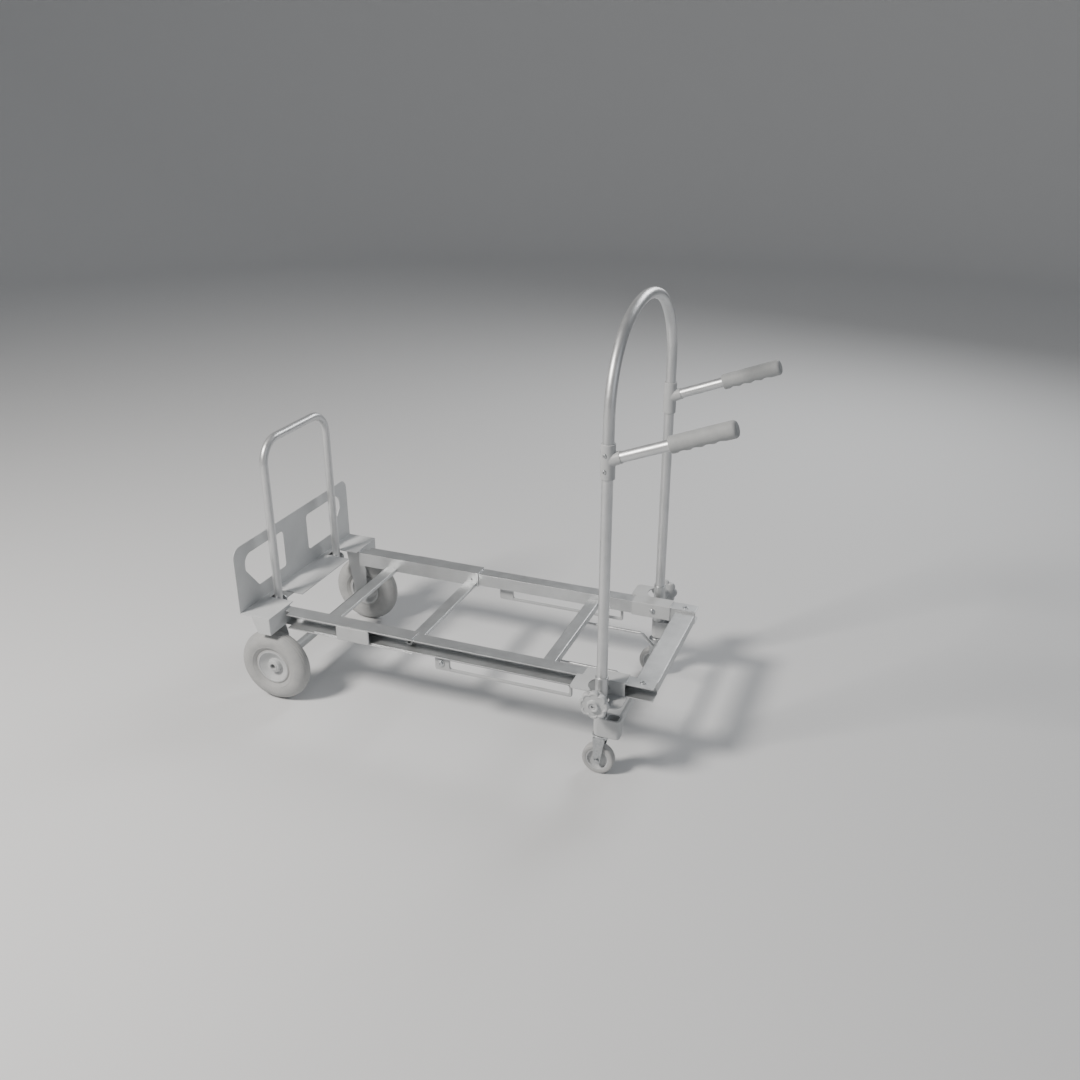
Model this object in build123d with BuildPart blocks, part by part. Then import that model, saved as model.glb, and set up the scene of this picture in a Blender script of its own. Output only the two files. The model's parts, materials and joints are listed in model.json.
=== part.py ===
from build123d import *
import os
from math import cos, radians, sin

# Convertible hand truck in its four-wheel platform position, millimetres.
# +X runs from the nose plate to the grips, +Y is the left side, +Z is up.
# The origin lies on the ground under the middle of the bounding box.
# Stations along the truck are given from the handle axis and placed with at_x().

os.makedirs("parts", exist_ok=True)

# ---------- overall stations ----------
wheelbase = 915.0            # big wheel axle to handle axis
grip_reach = 271.0           # handle axis to the tip of the grips
tyre_r = 100.0
overall_length = tyre_r + wheelbase + grip_reach
handle_x = overall_length / 2 - grip_reach
axle_x = handle_x - wheelbase
track_half = 242.0           # centre plane to the middle of each big wheel

# ---------- clearances ----------
body_gap = 0.35              # least air between bodies that pass each other
pin_gap = 0.05               # running clearance of pins and axles
slide_gap = 0.5              # play between the telescoping rails
sleeve_fit = 0.1             # radial play of tubes in their sleeves
cut_over = 1.0               # how far a cutter runs past the face it opens

# ---------- rails ----------
rail_t = 2.5                 # channel wall
rail_h = 35.0                # inner rail height
rail_w = 39.0                # inner rail depth, web to flange tips
rail_z = 226.5               # mid height of every rail
rail_web_y = 183.0           # inner face of the inner rail web
inner_rail_end = 116.0
inner_rail_tail = -800.0
outer_rail_end = -512.0
outer_flange_lip = 3.0       # outer flanges stand out past the inner ones
outer_notch_end = -879.0     # flanges cut back beside the axle plates

inner_top = rail_z + rail_h / 2
inner_bottom = rail_z - rail_h / 2
outer_h = rail_h + 2 * (slide_gap + rail_t)
outer_top = rail_z + outer_h / 2
outer_bottom = rail_z - outer_h / 2
outer_web_y = rail_web_y - slide_gap - rail_t
inner_tip_y = rail_web_y + rail_w
outer_tip_y = inner_tip_y + outer_flange_lip

# ---------- slide lock and rail end pads ----------
lock_station = -531.0
lock_hole_r = 4.0
lock_boss_r = 11.0
lock_boss_l = 16.0
lock_socket_r = 5.0
lock_socket_floor = 4.0
cover_back = -728.0
cover_front = -633.0
cover_t = 4.5
cover_margin = 0.5           # pad edge inside the flange edge

# ---------- nose plate ----------
nose_x = -988.0              # outer face
nose_t = 3.0
nose_half_w = 276.0
nose_top = 435.0
nose_corner_r = 28.0
ledge_top = 255.0            # folded ledge
ledge_end = -897.0
window_in = 57.0             # half width of the centre post
window_out = 232.0
window_low = 297.0
window_high = 402.0
window_cut_y = 50.0          # sloping lower outer corner of each window
window_cut_z = 62.0
window_outer_r = 26.0
window_r = 10.0
leg_slot_in = 120.0          # slots in the ledge for the legs of the loop
leg_slot_out = 165.0
leg_slot_back = -968.0
ledge_bottom = ledge_top - nose_t
nose_in = nose_x + nose_t

# ---------- backstop loop ----------
loop_station = -955.0
loop_half_w = 147.0
loop_r = 11.0
loop_wall = 2.0
loop_top = 697.0
loop_bend_r = 62.0
loop_pivot_z = 232.0
loop_tail = 12.0
loop_pin_r = 4.0
loop_pin_head_r = 7.0
loop_pin_head_t = 3.0
loop_pin_tail = 4.0
ear_t = 3.0
ear_gap = 0.5
ear_h = 34.0
ear_reach = 17.0             # past the pivot
ear_r = 12.0
beam_t = 6.0

# ---------- big wheels ----------
tyre_w = 52.0
tyre_belly_r = 72.0          # radius at which the tyre is widest
rim_r = 46.0
rim_w = 38.0
rim_lip = 4.0
rim_bowl_r = 37.0
rim_web_t = 8.0
hub_r = 18.0
hub_draft = 2.0
hub_clear = 16.0             # axle plate to hub
hub_l = 31.0
axle_r = 8.0
axle_tube_r = 12.5
axle_proud = 2.0
axle_cap_rim = 2.5
axle_cap_t = 2.0
axle_cap_dimple = 1.2
collar_rim = 5.0
axle_plate_inset = 20.0      # rail web to axle plate
axle_plate_t = 3.0
axle_plate_r = 19.0
axle_plate_back = -958.0
axle_plate_flare_x = -893.0
axle_plate_flare_z = 180.0
guard_t = 3.0
guard_bottom = 206.0
guard_back_high = -952.0
guard_back_low = -936.0
guard_bend_r = 2.5
axle_plate_y = rail_web_y + axle_plate_inset
hub_in = axle_plate_y + hub_clear
hub_out = hub_in + hub_l

# ---------- platform cross members ----------
beam_back = 62.0             # crossbeam over the rail ends
beam_top = 237.0
beam_plate_t = 3.0
beam_lip = 24.0
beam_back_lip = 12.0
beam_bend_r = 2.0
crossbar_w = 34.0
crossbar_h = 10.0
crossbar_r = 1.5
outer_bar_stations = (-790.0, -535.0)
inner_bar_station = -165.0
inner_bar_h = 20.0
inner_bar_r = 3.0
eyelet_station = 86.0
eyelet_inset = 17.0          # rail web to eyelet
eyelet_r = 3.5
eyelet_barrel_r = 5.0
eyelet_flange_r = 8.0
eyelet_flange_t = 1.5
eyelet_y = rail_web_y + eyelet_inset

# ---------- carriages ----------
carriage_back = -57.0
carriage_front = 48.0
carriage_t = 3.0
carriage_r = 2.5
shelf_reach = 32.3           # past the handle tube axis
shelf_back = -70.0
shelf_front = -20.0
shelf_notch_gap = 16.5       # notch edge to sleeve
shelf_corner_r = 12.0
low_shelf_reach = 27.3
low_shelf_back = 8.0
low_shelf_front = 54.0
low_shelf_notch_gap = 3.0
low_shelf_corner_r = 22.0
boss_outer_r = 11.0
bolt_head_r = 7.5
bolt_head_t = 5.0

# ---------- skids ----------
skid_inset = 24.0            # rail web to the middle of the skid
skid_back = -455.0
skid_front = -88.0
skid_low = 168.0
skid_bar = 6.0
skid_top_bar = 9.0
skid_plate_l = 40.0
skid_t = 8.0
skid_corner_r = 7.0
skid_end_r = 5.0
skid_edge_r = 2.0
skid_bolt_inset = 17.0
skid_y = rail_web_y + skid_inset
skid_bolt_z = 189.0
washer_r = 10.0
washer_t = 2.0
screw_head_r = 6.5
screw_head_t = 3.0
screw_socket_r = 2.5

# ---------- catch rods ----------
rod_r = 4.0
rod_y_station = 105.0
rod_hang = 11.5              # rods run this far below the rails
rod_bend_station = -5.0
rod_end_station = 27.0
rod_drop = 33.0
rod_bend_r = 11.0
rod_level = inner_bottom - rod_hang

# ---------- folding handle ----------
tube_r = 12.7
tube_wall = 2.0
sleeve_wall = 2.7
boss_l = 11.2                # carriage side to sleeve
tube_bottom = 168.0
pivot_z = 227.0
pivot_bolt_r = 4.0
sleeve_top = 272.0
sleeve_rim_r = 1.2
arch_leg_top = 890.0
arch_corner_r = 203.0
arch_top_r = 347.0
sleeve_r = tube_r + sleeve_fit + sleeve_wall
carriage_out = inner_tip_y + carriage_t
sleeve_in_y = carriage_out + boss_l
handle_y = sleeve_in_y + sleeve_r

# ---------- caster cups and cross strap ----------
cup_bottom = 114.0
cup_h = 51.0
cup_wall = 1.0               # cup wall beside the sleeve
cup_back_r = 16.4
cup_front_r = 9.0
cup_front = 51.0
cup_floor = 10.0
cup_rim_r = 4.0
pocket_l = 28.0
pocket_d = 24.0
pocket_x = 31.5
pocket_r = 8.0
strap_back = 41.0
strap_t = 7.0
strap_low = 141.0
strap_r = 1.5
cup_half_d = sleeve_r + cup_wall

# ---------- casters ----------
caster_inset = 6.7           # swivel axis inside the handle tube axis
caster_r = 40.0
caster_w = 24.0
caster_edge_r = 5.0
caster_trail = 5.0
caster_core_r = 29.0
caster_rim_t = 4.0
caster_web_t = 8.0
caster_hub_r = 9.0
caster_hub_w = 27.0
caster_axle_r = 4.0
axle_nut_r = 6.5
axle_head_t = 4.0
axle_nut_t = 2.5
fork_t = 3.0
fork_gap = 0.5
fork_eye_r = 9.0
fork_back = -16.0
fork_front = 14.0
head_r = 21.0
head_t = 7.0
head_edge_r = 2.0
crown_r = 19.5
crown_t = 6.0
kingpin_r = 5.0
kingpin_nut_r = 8.0
kingpin_nut_t = 5.0
caster_y = handle_y - caster_inset

# ---------- knobs ----------
knob_r = 36.0
knob_lobes = 8
knob_lobe_r = 7.5
knob_stand = 46.3            # handle tube axis to the back of the disc
knob_rim_t = 15.0
knob_edge_r = 3.0
knob_neck_r = 14.0
knob_neck_gap = 0.6
knob_boss_r = 13.0
knob_boss_t = 6.0
knob_cap_t = 4.0
knob_dimple_r = 3.5
knob_dimple = 2.0
knob_in = handle_y + knob_stand

# ---------- tee sleeves, arms and grips ----------
tee_low = 760.0
tee_high = 840.0
tee_wall = 3.4
tee_edge_r = 2.0
tee_screw_r = 4.5
tee_screw_seat = 1.3         # wall left under each screw head
tee_screw_proud = 1.5
tee_screw_socket_r = 2.2
tee_screw_x = -3.0
tee_screw_heights = (816.0, 780.0)
arm_z = 802.0                # where the arm axis meets the tube axis
arm_tilt = 21.0
arm_r = 12.4
arm_wall = 2.0
arm_root = 18.0
arm_boss_root_r = 15.6
arm_boss_end_r = 13.8
arm_boss_end = 32.0
grip_start = 142.0
grip_r = 19.0
grip_end_r = 8.0
grip_near_r = 2.5
grip_end_cap = 5.0
grip_dips = 4
grip_dip_r = 15.0
grip_dip_floor = 14.3        # arm axis to the bottom of a finger dip
grip_dip_start = 166.0
grip_dip_pitch = 27.0
tee_r = tube_r + sleeve_fit + tee_wall
grip_len = (grip_reach - grip_r * sin(radians(arm_tilt)) / 2) / cos(radians(arm_tilt)) - grip_start


def at_x(offset):
    """X of a station given from the handle axis."""
    return handle_x + offset


def side_plane(y):
    """Vertical XZ plane at Y = y; a negative extrude runs towards +Y."""
    return Plane.XZ.offset(-y)


def block(x0, x1, y0, y1, z0, z1, mode=Mode.ADD):
    """Box between two corners."""
    with Locations(((x0 + x1) / 2, (y0 + y1) / 2, (z0 + z1) / 2)):
        Box(abs(x1 - x0), abs(y1 - y0), abs(z1 - z0), mode=mode)


def rod_y(x, y0, y1, z, r, mode=Mode.ADD):
    """Round bar along Y."""
    with Locations((x, (y0 + y1) / 2, z)):
        Cylinder(r, abs(y1 - y0), rotation=(90, 0, 0), mode=mode)


def rod_z(x, y, z0, z1, r, mode=Mode.ADD):
    """Round bar along Z."""
    with Locations((x, y, (z0 + z1) / 2)):
        Cylinder(r, abs(z1 - z0), mode=mode)


def save(piece, name):
    """Label a node and write its STEP file."""
    piece.part.label = name
    export_step(piece.part, f"parts/{name}.step")


def save_pair(piece, name):
    """Write the left piece and its mirror image on the right."""
    with BuildPart() as twin:
        mirror(piece.part, about=Plane.XZ)
    save(piece, f"{name}_left")
    save(twin, f"{name}_right")


def save_group(piece, name):
    """Write the left pieces and their mirror images as one node."""
    with BuildPart() as group:
        add(piece.part)
        mirror(piece.part, about=Plane.XZ)
    save(group, name)


def channel(y_web, y_tip, z_low, z_high, x0, x1):
    """C-channel along X, open towards +Y."""
    with BuildSketch(Plane.YZ.offset(x0)) as profile:
        with BuildLine():
            Polyline(
                (y_web, z_low), (y_tip, z_low), (y_tip, z_low + rail_t), (y_web + rail_t, z_low + rail_t),
                (y_web + rail_t, z_high - rail_t), (y_tip, z_high - rail_t), (y_tip, z_high), (y_web, z_high),
                close=True,
            )
        make_face()
    extrude(profile.sketch, amount=x1 - x0)


# ================= nose end: fixed frame =================
lock_x = at_x(lock_station)

with BuildPart() as outer_rail:
    channel(outer_web_y, outer_tip_y, outer_bottom, outer_top, at_x(ledge_end), at_x(outer_rail_end))
    block(
        at_x(ledge_end) - cut_over, at_x(outer_notch_end), axle_plate_y + axle_plate_t,
        outer_tip_y + cut_over, outer_bottom - cut_over, outer_top + cut_over, Mode.SUBTRACT,
    )
    rod_y(lock_x, outer_web_y - cut_over, outer_web_y + rail_t + cut_over, rail_z, lock_hole_r, Mode.SUBTRACT)
save_pair(outer_rail, "outer_rail")

with BuildPart() as nose_plate:
    with BuildSketch(Plane.YZ.offset(at_x(nose_x))):
        with Locations((0, (nose_top + ledge_bottom) / 2)):
            Rectangle(2 * nose_half_w, nose_top - ledge_bottom)
    extrude(amount=nose_t)
    fillet(nose_plate.edges().filter_by(Axis.X).group_by(Axis.Z)[-1], nose_corner_r)
    block(at_x(nose_x), at_x(ledge_end), -nose_half_w, nose_half_w, ledge_bottom, ledge_top)
    for side in (1, -1):
        with BuildSketch(Plane.YZ.offset(at_x(nose_x) - cut_over)):
            with BuildLine():
                Polyline(
                    (side * window_in, window_low), (side * (window_out - window_cut_y), window_low),
                    (side * window_out, window_low + window_cut_z), (side * window_out, window_high),
                    (side * window_in, window_high), close=True,
                )
            make_face()
        extrude(amount=nose_t + 2 * cut_over, mode=Mode.SUBTRACT)
        block(
            at_x(leg_slot_back), at_x(ledge_end) + cut_over, side * leg_slot_in, side * leg_slot_out,
            ledge_bottom - cut_over, ledge_top + cut_over, Mode.SUBTRACT,
        )
    window_edges = (
        nose_plate.edges()
        .filter_by(Axis.X)
        .filter_by(lambda e: window_low - 1 < e.center().Z < window_high + 1)
        .filter_by(lambda e: abs(e.center().Y) < window_out + 1)
    )
    high_outer = window_edges.filter_by(
        lambda e: abs(e.center().Y) > window_out - 1 and e.center().Z > window_high - 1
    )
    fillet(window_edges - high_outer, window_r)
    high_outer = (
        nose_plate.edges()
        .filter_by(Axis.X)
        .filter_by(lambda e: abs(abs(e.center().Y) - window_out) < 1 and abs(e.center().Z - window_high) < 1)
    )
    fillet(high_outer, window_outer_r)
    fold_edge = (
        nose_plate.edges()
        .filter_by(Axis.Y)
        .filter_by(lambda e: abs(e.center().X - at_x(nose_x)) < 0.1 and e.center().Z < ledge_top)
    )
    fillet(fold_edge, nose_t - 0.2)
save(nose_plate, "nose_plate")

with BuildPart() as front_beam:
    block(
        at_x(nose_in), at_x(nose_in) + beam_t, -outer_web_y, outer_web_y,
        outer_bottom, ledge_bottom,
    )
save(front_beam, "front_beam")

loop_x = at_x(loop_station)
ear_in = loop_half_w - loop_r - ear_gap - ear_t
ear_out = loop_half_w + loop_r + ear_gap + ear_t
with BuildPart() as loop_ears:
    for y0 in (ear_in, ear_out - ear_t):
        block(
            at_x(nose_in) + beam_t, loop_x + ear_reach, y0, y0 + ear_t,
            loop_pivot_z - ear_h / 2, loop_pivot_z + ear_h / 2,
        )
    fillet(loop_ears.edges().filter_by(Axis.Y).group_by(Axis.X)[-1], ear_r)
    rod_y(loop_x, ear_in - cut_over, ear_out + cut_over, loop_pivot_z, loop_pin_r, Mode.SUBTRACT)
save_group(loop_ears, "loop_ears")

with BuildPart() as loop_pins:
    rod_y(loop_x, ear_in, ear_out + loop_pin_tail, loop_pivot_z, loop_pin_r)
    rod_y(loop_x, ear_in - loop_pin_head_t, ear_in, loop_pivot_z, loop_pin_head_r)
save_group(loop_pins, "loop_pins")

with BuildPart() as outer_crossbars:
    for station in outer_bar_stations:
        block(
            at_x(station) - crossbar_w / 2, at_x(station) + crossbar_w / 2, -outer_web_y, outer_web_y,
            outer_bottom, outer_bottom + crossbar_h,
        )
    fillet(outer_crossbars.edges().filter_by(Axis.Y), crossbar_r)
save(outer_crossbars, "outer_crossbars")

with BuildPart() as wheel_guard:
    with BuildSketch(side_plane(nose_half_w)):
        with BuildLine():
            Polyline(
                (at_x(guard_back_high), ledge_bottom), (at_x(ledge_end), ledge_bottom),
                (at_x(ledge_end), guard_bottom), (at_x(guard_back_low), guard_bottom), close=True,
            )
        make_face()
    extrude(amount=guard_t)
    block(
        at_x(ledge_end) - guard_t, at_x(ledge_end), outer_web_y, nose_half_w,
        guard_bottom, ledge_bottom,
    )
    guard_corner = (
        wheel_guard.edges()
        .filter_by(Axis.Z)
        .filter_by(lambda e: e.center().X > at_x(ledge_end) - 0.1 and e.center().Y > nose_half_w - 0.1)
    )
    fillet(guard_corner, guard_bend_r)
save_pair(wheel_guard, "wheel_guard")

with BuildPart() as axle_plate:
    with BuildSketch(side_plane(axle_plate_y)):
        with BuildLine():
            Polyline(
                (at_x(axle_plate_back), ledge_bottom), (at_x(ledge_end) - guard_t, ledge_bottom),
                (at_x(ledge_end) - guard_t, guard_bottom), (at_x(axle_plate_flare_x), axle_plate_flare_z),
                (axle_x + axle_plate_r, tyre_r), (axle_x, tyre_r - axle_plate_r),
                (axle_x - axle_plate_r, tyre_r), close=True,
            )
        make_face()
        with Locations((axle_x, tyre_r)):
            Circle(axle_plate_r)
    extrude(amount=-axle_plate_t)
    rod_y(
        axle_x, axle_plate_y - cut_over, axle_plate_y + axle_plate_t + cut_over,
        tyre_r, axle_r, Mode.SUBTRACT,
    )
save_pair(axle_plate, "axle_plate")

axle_end = hub_out + axle_proud
with BuildPart() as axle:
    rod_y(axle_x, -axle_end, axle_end, tyre_r, axle_r)
    rod_y(axle_x, -axle_plate_y, axle_plate_y, tyre_r, axle_tube_r)
save(axle, "axle")

collar_in = axle_plate_y + axle_plate_t
collar_out = hub_in - body_gap
with BuildPart() as axle_collars:
    rod_y(axle_x, collar_in, collar_out, tyre_r, axle_r + collar_rim)
    rod_y(axle_x, collar_in - cut_over, collar_out + cut_over, tyre_r, axle_r, Mode.SUBTRACT)
save_group(axle_collars, "axle_collars")

cap_in = hub_out + body_gap
cap_out = axle_end + axle_cap_t
with BuildPart() as axle_caps:
    rod_y(axle_x, cap_in, cap_out, tyre_r, axle_r + axle_cap_rim)
    rod_y(axle_x, cap_in - cut_over, axle_end, tyre_r, axle_r, Mode.SUBTRACT)
    rod_y(axle_x, cap_out - axle_cap_dimple, cap_out + cut_over, tyre_r, axle_r / 2, Mode.SUBTRACT)
save_group(axle_caps, "axle_caps")

with BuildPart() as rail_covers:
    block(
        at_x(cover_back), at_x(cover_front), outer_tip_y, outer_tip_y + cover_t,
        outer_bottom + cover_margin, outer_top - cover_margin,
    )
    fillet(rail_covers.edges().filter_by(Axis.Y), 6.0)
    fillet(rail_covers.faces().sort_by(Axis.Y)[-1].edges(), 2.0)
save_group(rail_covers, "rail_covers")

# ================= big wheels =================
wheel_spin = Axis((axle_x, 0, tyre_r), (0, 1, 0))
rim_in = track_half - rim_w / 2
rim_out = track_half + rim_w / 2
web_in = track_half - rim_web_t / 2
web_out = track_half + rim_web_t / 2
with BuildPart() as wheel_rim:
    with BuildSketch(Plane.YZ.offset(axle_x)):
        with BuildLine():
            Polyline(
                (hub_in, tyre_r + axle_r + pin_gap), (hub_out, tyre_r + axle_r + pin_gap),
                (hub_out, tyre_r + hub_r - hub_draft), (web_out, tyre_r + hub_r),
                (web_out, tyre_r + rim_bowl_r), (rim_out, tyre_r + rim_r - rim_lip),
                (rim_out, tyre_r + rim_r), (rim_in, tyre_r + rim_r),
                (rim_in, tyre_r + rim_r - rim_lip), (web_in, tyre_r + rim_bowl_r),
                (web_in, tyre_r + hub_r), (hub_in, tyre_r + hub_r - hub_draft), close=True,
            )
        make_face()
    revolve(axis=wheel_spin)
save_pair(wheel_rim, "wheel_rim")

with BuildPart() as tyre:
    with BuildSketch(Plane.YZ.offset(axle_x)):
        with Locations((track_half, tyre_r + tyre_belly_r)):
            Ellipse(tyre_w / 2, tyre_r - tyre_belly_r)
        with Locations((track_half, tyre_r + (rim_r + tyre_belly_r) / 2)):
            Rectangle(rim_w, tyre_belly_r - rim_r)
        with Locations((track_half, tyre_r + rim_r / 2)):
            Rectangle(tyre_w, rim_r, mode=Mode.SUBTRACT)
    revolve(axis=wheel_spin)
save_pair(tyre, "tyre")

# ================= backstop loop =================
with BuildPart() as backstop_loop:
    with BuildLine():
        loop_path = FilletPolyline(
            (loop_x, -loop_half_w, loop_pivot_z - loop_tail),
            (loop_x, -loop_half_w, loop_top - loop_r),
            (loop_x, loop_half_w, loop_top - loop_r),
            (loop_x, loop_half_w, loop_pivot_z - loop_tail),
            radius=loop_bend_r,
        )
    with BuildSketch(Plane((loop_x, -loop_half_w, loop_pivot_z - loop_tail), z_dir=(0, 0, 1))):
        Circle(loop_r)
        Circle(loop_r - loop_wall, mode=Mode.SUBTRACT)
    sweep(path=loop_path)
    for leg_y in (loop_half_w, -loop_half_w):
        rod_y(
            loop_x, leg_y - loop_r - cut_over, leg_y + loop_r + cut_over,
            loop_pivot_z, loop_pin_r + pin_gap, Mode.SUBTRACT,
        )
save(backstop_loop, "backstop_loop")

# ================= sliding frame =================
with BuildPart() as inner_rail:
    channel(
        rail_web_y, inner_tip_y, inner_bottom, inner_top, at_x(inner_rail_tail), at_x(inner_rail_end),
    )
    rod_z(
        at_x(eyelet_station), eyelet_y, inner_top - rail_t - cut_over, inner_top + cut_over,
        eyelet_barrel_r, Mode.SUBTRACT,
    )
    rod_y(
        handle_x, rail_web_y - cut_over, rail_web_y + rail_t + cut_over,
        pivot_z, pivot_bolt_r, Mode.SUBTRACT,
    )
save_pair(inner_rail, "inner_rail")

with BuildPart() as rail_eyelets:
    rod_z(at_x(eyelet_station), eyelet_y, inner_top, inner_top + eyelet_flange_t, eyelet_flange_r)
    flange_rim = rail_eyelets.edges().filter_by(GeomType.CIRCLE).group_by(Axis.Z)[-1]
    fillet(flange_rim, 1.0)
    rod_z(
        at_x(eyelet_station), eyelet_y, inner_top - rail_t - eyelet_flange_t, inner_top,
        eyelet_barrel_r,
    )
    rod_z(
        at_x(eyelet_station), eyelet_y, inner_top - rail_h, inner_top + rail_h,
        eyelet_r, Mode.SUBTRACT,
    )
save_group(rail_eyelets, "rail_eyelets")

boss_foot_y = rail_web_y + rail_t
with BuildPart() as lock_bosses:
    rod_y(lock_x, boss_foot_y, boss_foot_y + lock_boss_l, rail_z, lock_boss_r)
    fillet(lock_bosses.edges().filter_by(GeomType.CIRCLE).sort_by(Axis.Y)[-1], 2.0)
    rod_y(
        lock_x, boss_foot_y + lock_socket_floor, boss_foot_y + lock_boss_l + cut_over,
        rail_z, lock_socket_r, Mode.SUBTRACT,
    )
save_group(lock_bosses, "lock_bosses")

with BuildPart() as crossbeam:
    block(at_x(beam_back), at_x(inner_rail_end), -rail_web_y, rail_web_y, beam_top - beam_plate_t, beam_top)
    block(
        at_x(inner_rail_end) - beam_plate_t, at_x(inner_rail_end), -rail_web_y, rail_web_y,
        beam_top - beam_lip, beam_top,
    )
    block(
        at_x(beam_back), at_x(beam_back) + beam_plate_t, -rail_web_y, rail_web_y,
        beam_top - beam_back_lip, beam_top,
    )
    top_folds = crossbeam.edges().filter_by(Axis.Y).group_by(Axis.Z)[-1]
    fillet(top_folds, beam_bend_r)
save(crossbeam, "crossbeam")

with BuildPart() as inner_crossbar:
    block(
        at_x(inner_bar_station) - crossbar_w / 2, at_x(inner_bar_station) + crossbar_w / 2,
        -rail_web_y, rail_web_y, inner_bottom, inner_bottom + inner_bar_h,
    )
    fillet(inner_crossbar.edges().filter_by(Axis.Y), inner_bar_r)
save(inner_crossbar, "inner_crossbar")

carriage_top = inner_top + carriage_t
carriage_bottom = inner_bottom - carriage_t
with BuildPart() as carriage:
    block(
        at_x(carriage_back), at_x(carriage_front), rail_web_y - carriage_t, carriage_out,
        carriage_bottom, carriage_top,
    )
    fillet(carriage.edges().filter_by(Axis.X), carriage_r)
    block(
        at_x(carriage_back) - cut_over, at_x(carriage_front) + cut_over, rail_web_y, inner_tip_y,
        inner_bottom, inner_top, Mode.SUBTRACT,
    )
    # upper shelf behind the sleeve
    with BuildSketch(Plane.XY.offset(inner_top)):
        with BuildLine():
            Polyline(
                (at_x(shelf_back), inner_tip_y), (at_x(shelf_back), handle_y + shelf_reach),
                (at_x(shelf_front), handle_y + shelf_reach), (at_x(shelf_front), inner_tip_y), close=True,
            )
        upper_shelf = make_face()
        fillet(upper_shelf.vertices().group_by(Axis.Y)[-1].sort_by(Axis.X)[0], shelf_corner_r)
        with Locations((handle_x, handle_y)):
            Circle(sleeve_r + shelf_notch_gap, mode=Mode.SUBTRACT)
    extrude(amount=carriage_t)
    # lower shelf ahead of the sleeve
    with BuildSketch(Plane.XY.offset(carriage_bottom)):
        with BuildLine():
            Polyline(
                (at_x(low_shelf_back), inner_tip_y), (at_x(low_shelf_back), handle_y + low_shelf_reach),
                (at_x(low_shelf_front), handle_y + low_shelf_reach), (at_x(low_shelf_front), inner_tip_y), close=True,
            )
        lower_shelf = make_face()
        fillet(lower_shelf.vertices().group_by(Axis.Y)[-1].sort_by(Axis.X)[-1], low_shelf_corner_r)
        with Locations((handle_x, handle_y)):
            Circle(sleeve_r + low_shelf_notch_gap, mode=Mode.SUBTRACT)
    extrude(amount=carriage_t)
    rod_y(
        handle_x, rail_web_y - 2 * carriage_t, carriage_out + carriage_t,
        pivot_z, pivot_bolt_r, Mode.SUBTRACT,
    )
save_pair(carriage, "carriage")

with BuildPart() as pivot_bosses:
    rod_y(handle_x, carriage_out, sleeve_in_y - body_gap, pivot_z, boss_outer_r)
    rod_y(handle_x, carriage_out - cut_over, sleeve_in_y + cut_over, pivot_z, pivot_bolt_r, Mode.SUBTRACT)
save_group(pivot_bosses, "pivot_bosses")

knob_out = knob_in + knob_rim_t + knob_boss_t
bolt_in = rail_web_y - carriage_t
with BuildPart() as pivot_bolts:
    rod_y(handle_x, bolt_in - bolt_head_t, bolt_in, pivot_z, bolt_head_r)
    fillet(pivot_bolts.edges().filter_by(GeomType.CIRCLE).sort_by(Axis.Y)[0], 2.0)
    rod_y(handle_x, bolt_in, knob_out - knob_cap_t - knob_dimple, pivot_z, pivot_bolt_r)
save_group(pivot_bolts, "pivot_bolts")

skid_window_l = skid_front - skid_bar - skid_back - skid_plate_l
skid_window_h = inner_bottom - skid_top_bar - skid_low - skid_bar
with BuildPart() as skid:
    with BuildSketch(side_plane(skid_y + skid_t / 2)):
        with Locations((at_x((skid_back + skid_front) / 2), (inner_bottom + skid_low) / 2)):
            Rectangle(skid_front - skid_back, inner_bottom - skid_low)
        with Locations((
            at_x(skid_back + skid_plate_l + skid_window_l / 2),
            skid_low + skid_bar + skid_window_h / 2,
        )):
            RectangleRounded(skid_window_l, skid_window_h, skid_corner_r, mode=Mode.SUBTRACT)
    extrude(amount=skid_t)
    fillet(skid.edges().filter_by(Axis.Y).group_by(Axis.Z)[0], skid_end_r)
    fillet(skid.edges().filter_by(Axis.X).group_by(Axis.Z)[0], skid_edge_r)
save_pair(skid, "skid")

skid_bolt_x = at_x(skid_back + skid_bolt_inset)
skid_face_y = skid_y + skid_t / 2
with BuildPart() as skid_bolts:
    rod_y(skid_bolt_x, skid_face_y, skid_face_y + washer_t, skid_bolt_z, washer_r)
    rod_y(
        skid_bolt_x, skid_face_y + washer_t, skid_face_y + washer_t + screw_head_t,
        skid_bolt_z, screw_head_r,
    )
    rod_y(
        skid_bolt_x, skid_face_y + washer_t + 1, skid_face_y + washer_t + screw_head_t + cut_over,
        skid_bolt_z, screw_socket_r, Mode.SUBTRACT,
    )
save_group(skid_bolts, "skid_bolts")

with BuildPart() as catch_rods:
    with BuildLine():
        rod_path = FilletPolyline(
            (at_x(inner_bar_station), rod_y_station, inner_bottom),
            (at_x(inner_bar_station), rod_y_station, rod_level),
            (at_x(rod_bend_station), rod_y_station, rod_level),
            (at_x(rod_end_station), rod_y_station, rod_level - rod_drop),
            radius=rod_bend_r,
        )
    with BuildSketch(Plane((at_x(inner_bar_station), rod_y_station, inner_bottom), z_dir=(0, 0, -1))):
        Circle(rod_r)
    sweep(path=rod_path)
save_group(catch_rods, "catch_rods")

# ================= folding handle frame =================
# the arch is one wide arc between two tighter corner arcs
corner_y = handle_y - arch_corner_r
top_centre_z = arch_leg_top - ((arch_top_r - arch_corner_r) ** 2 - corner_y ** 2) ** 0.5
arch_top = top_centre_z + arch_top_r
touch_y = arch_top_r * corner_y / (arch_top_r - arch_corner_r)
touch_z = top_centre_z + (arch_top_r ** 2 - touch_y ** 2) ** 0.5

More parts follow.
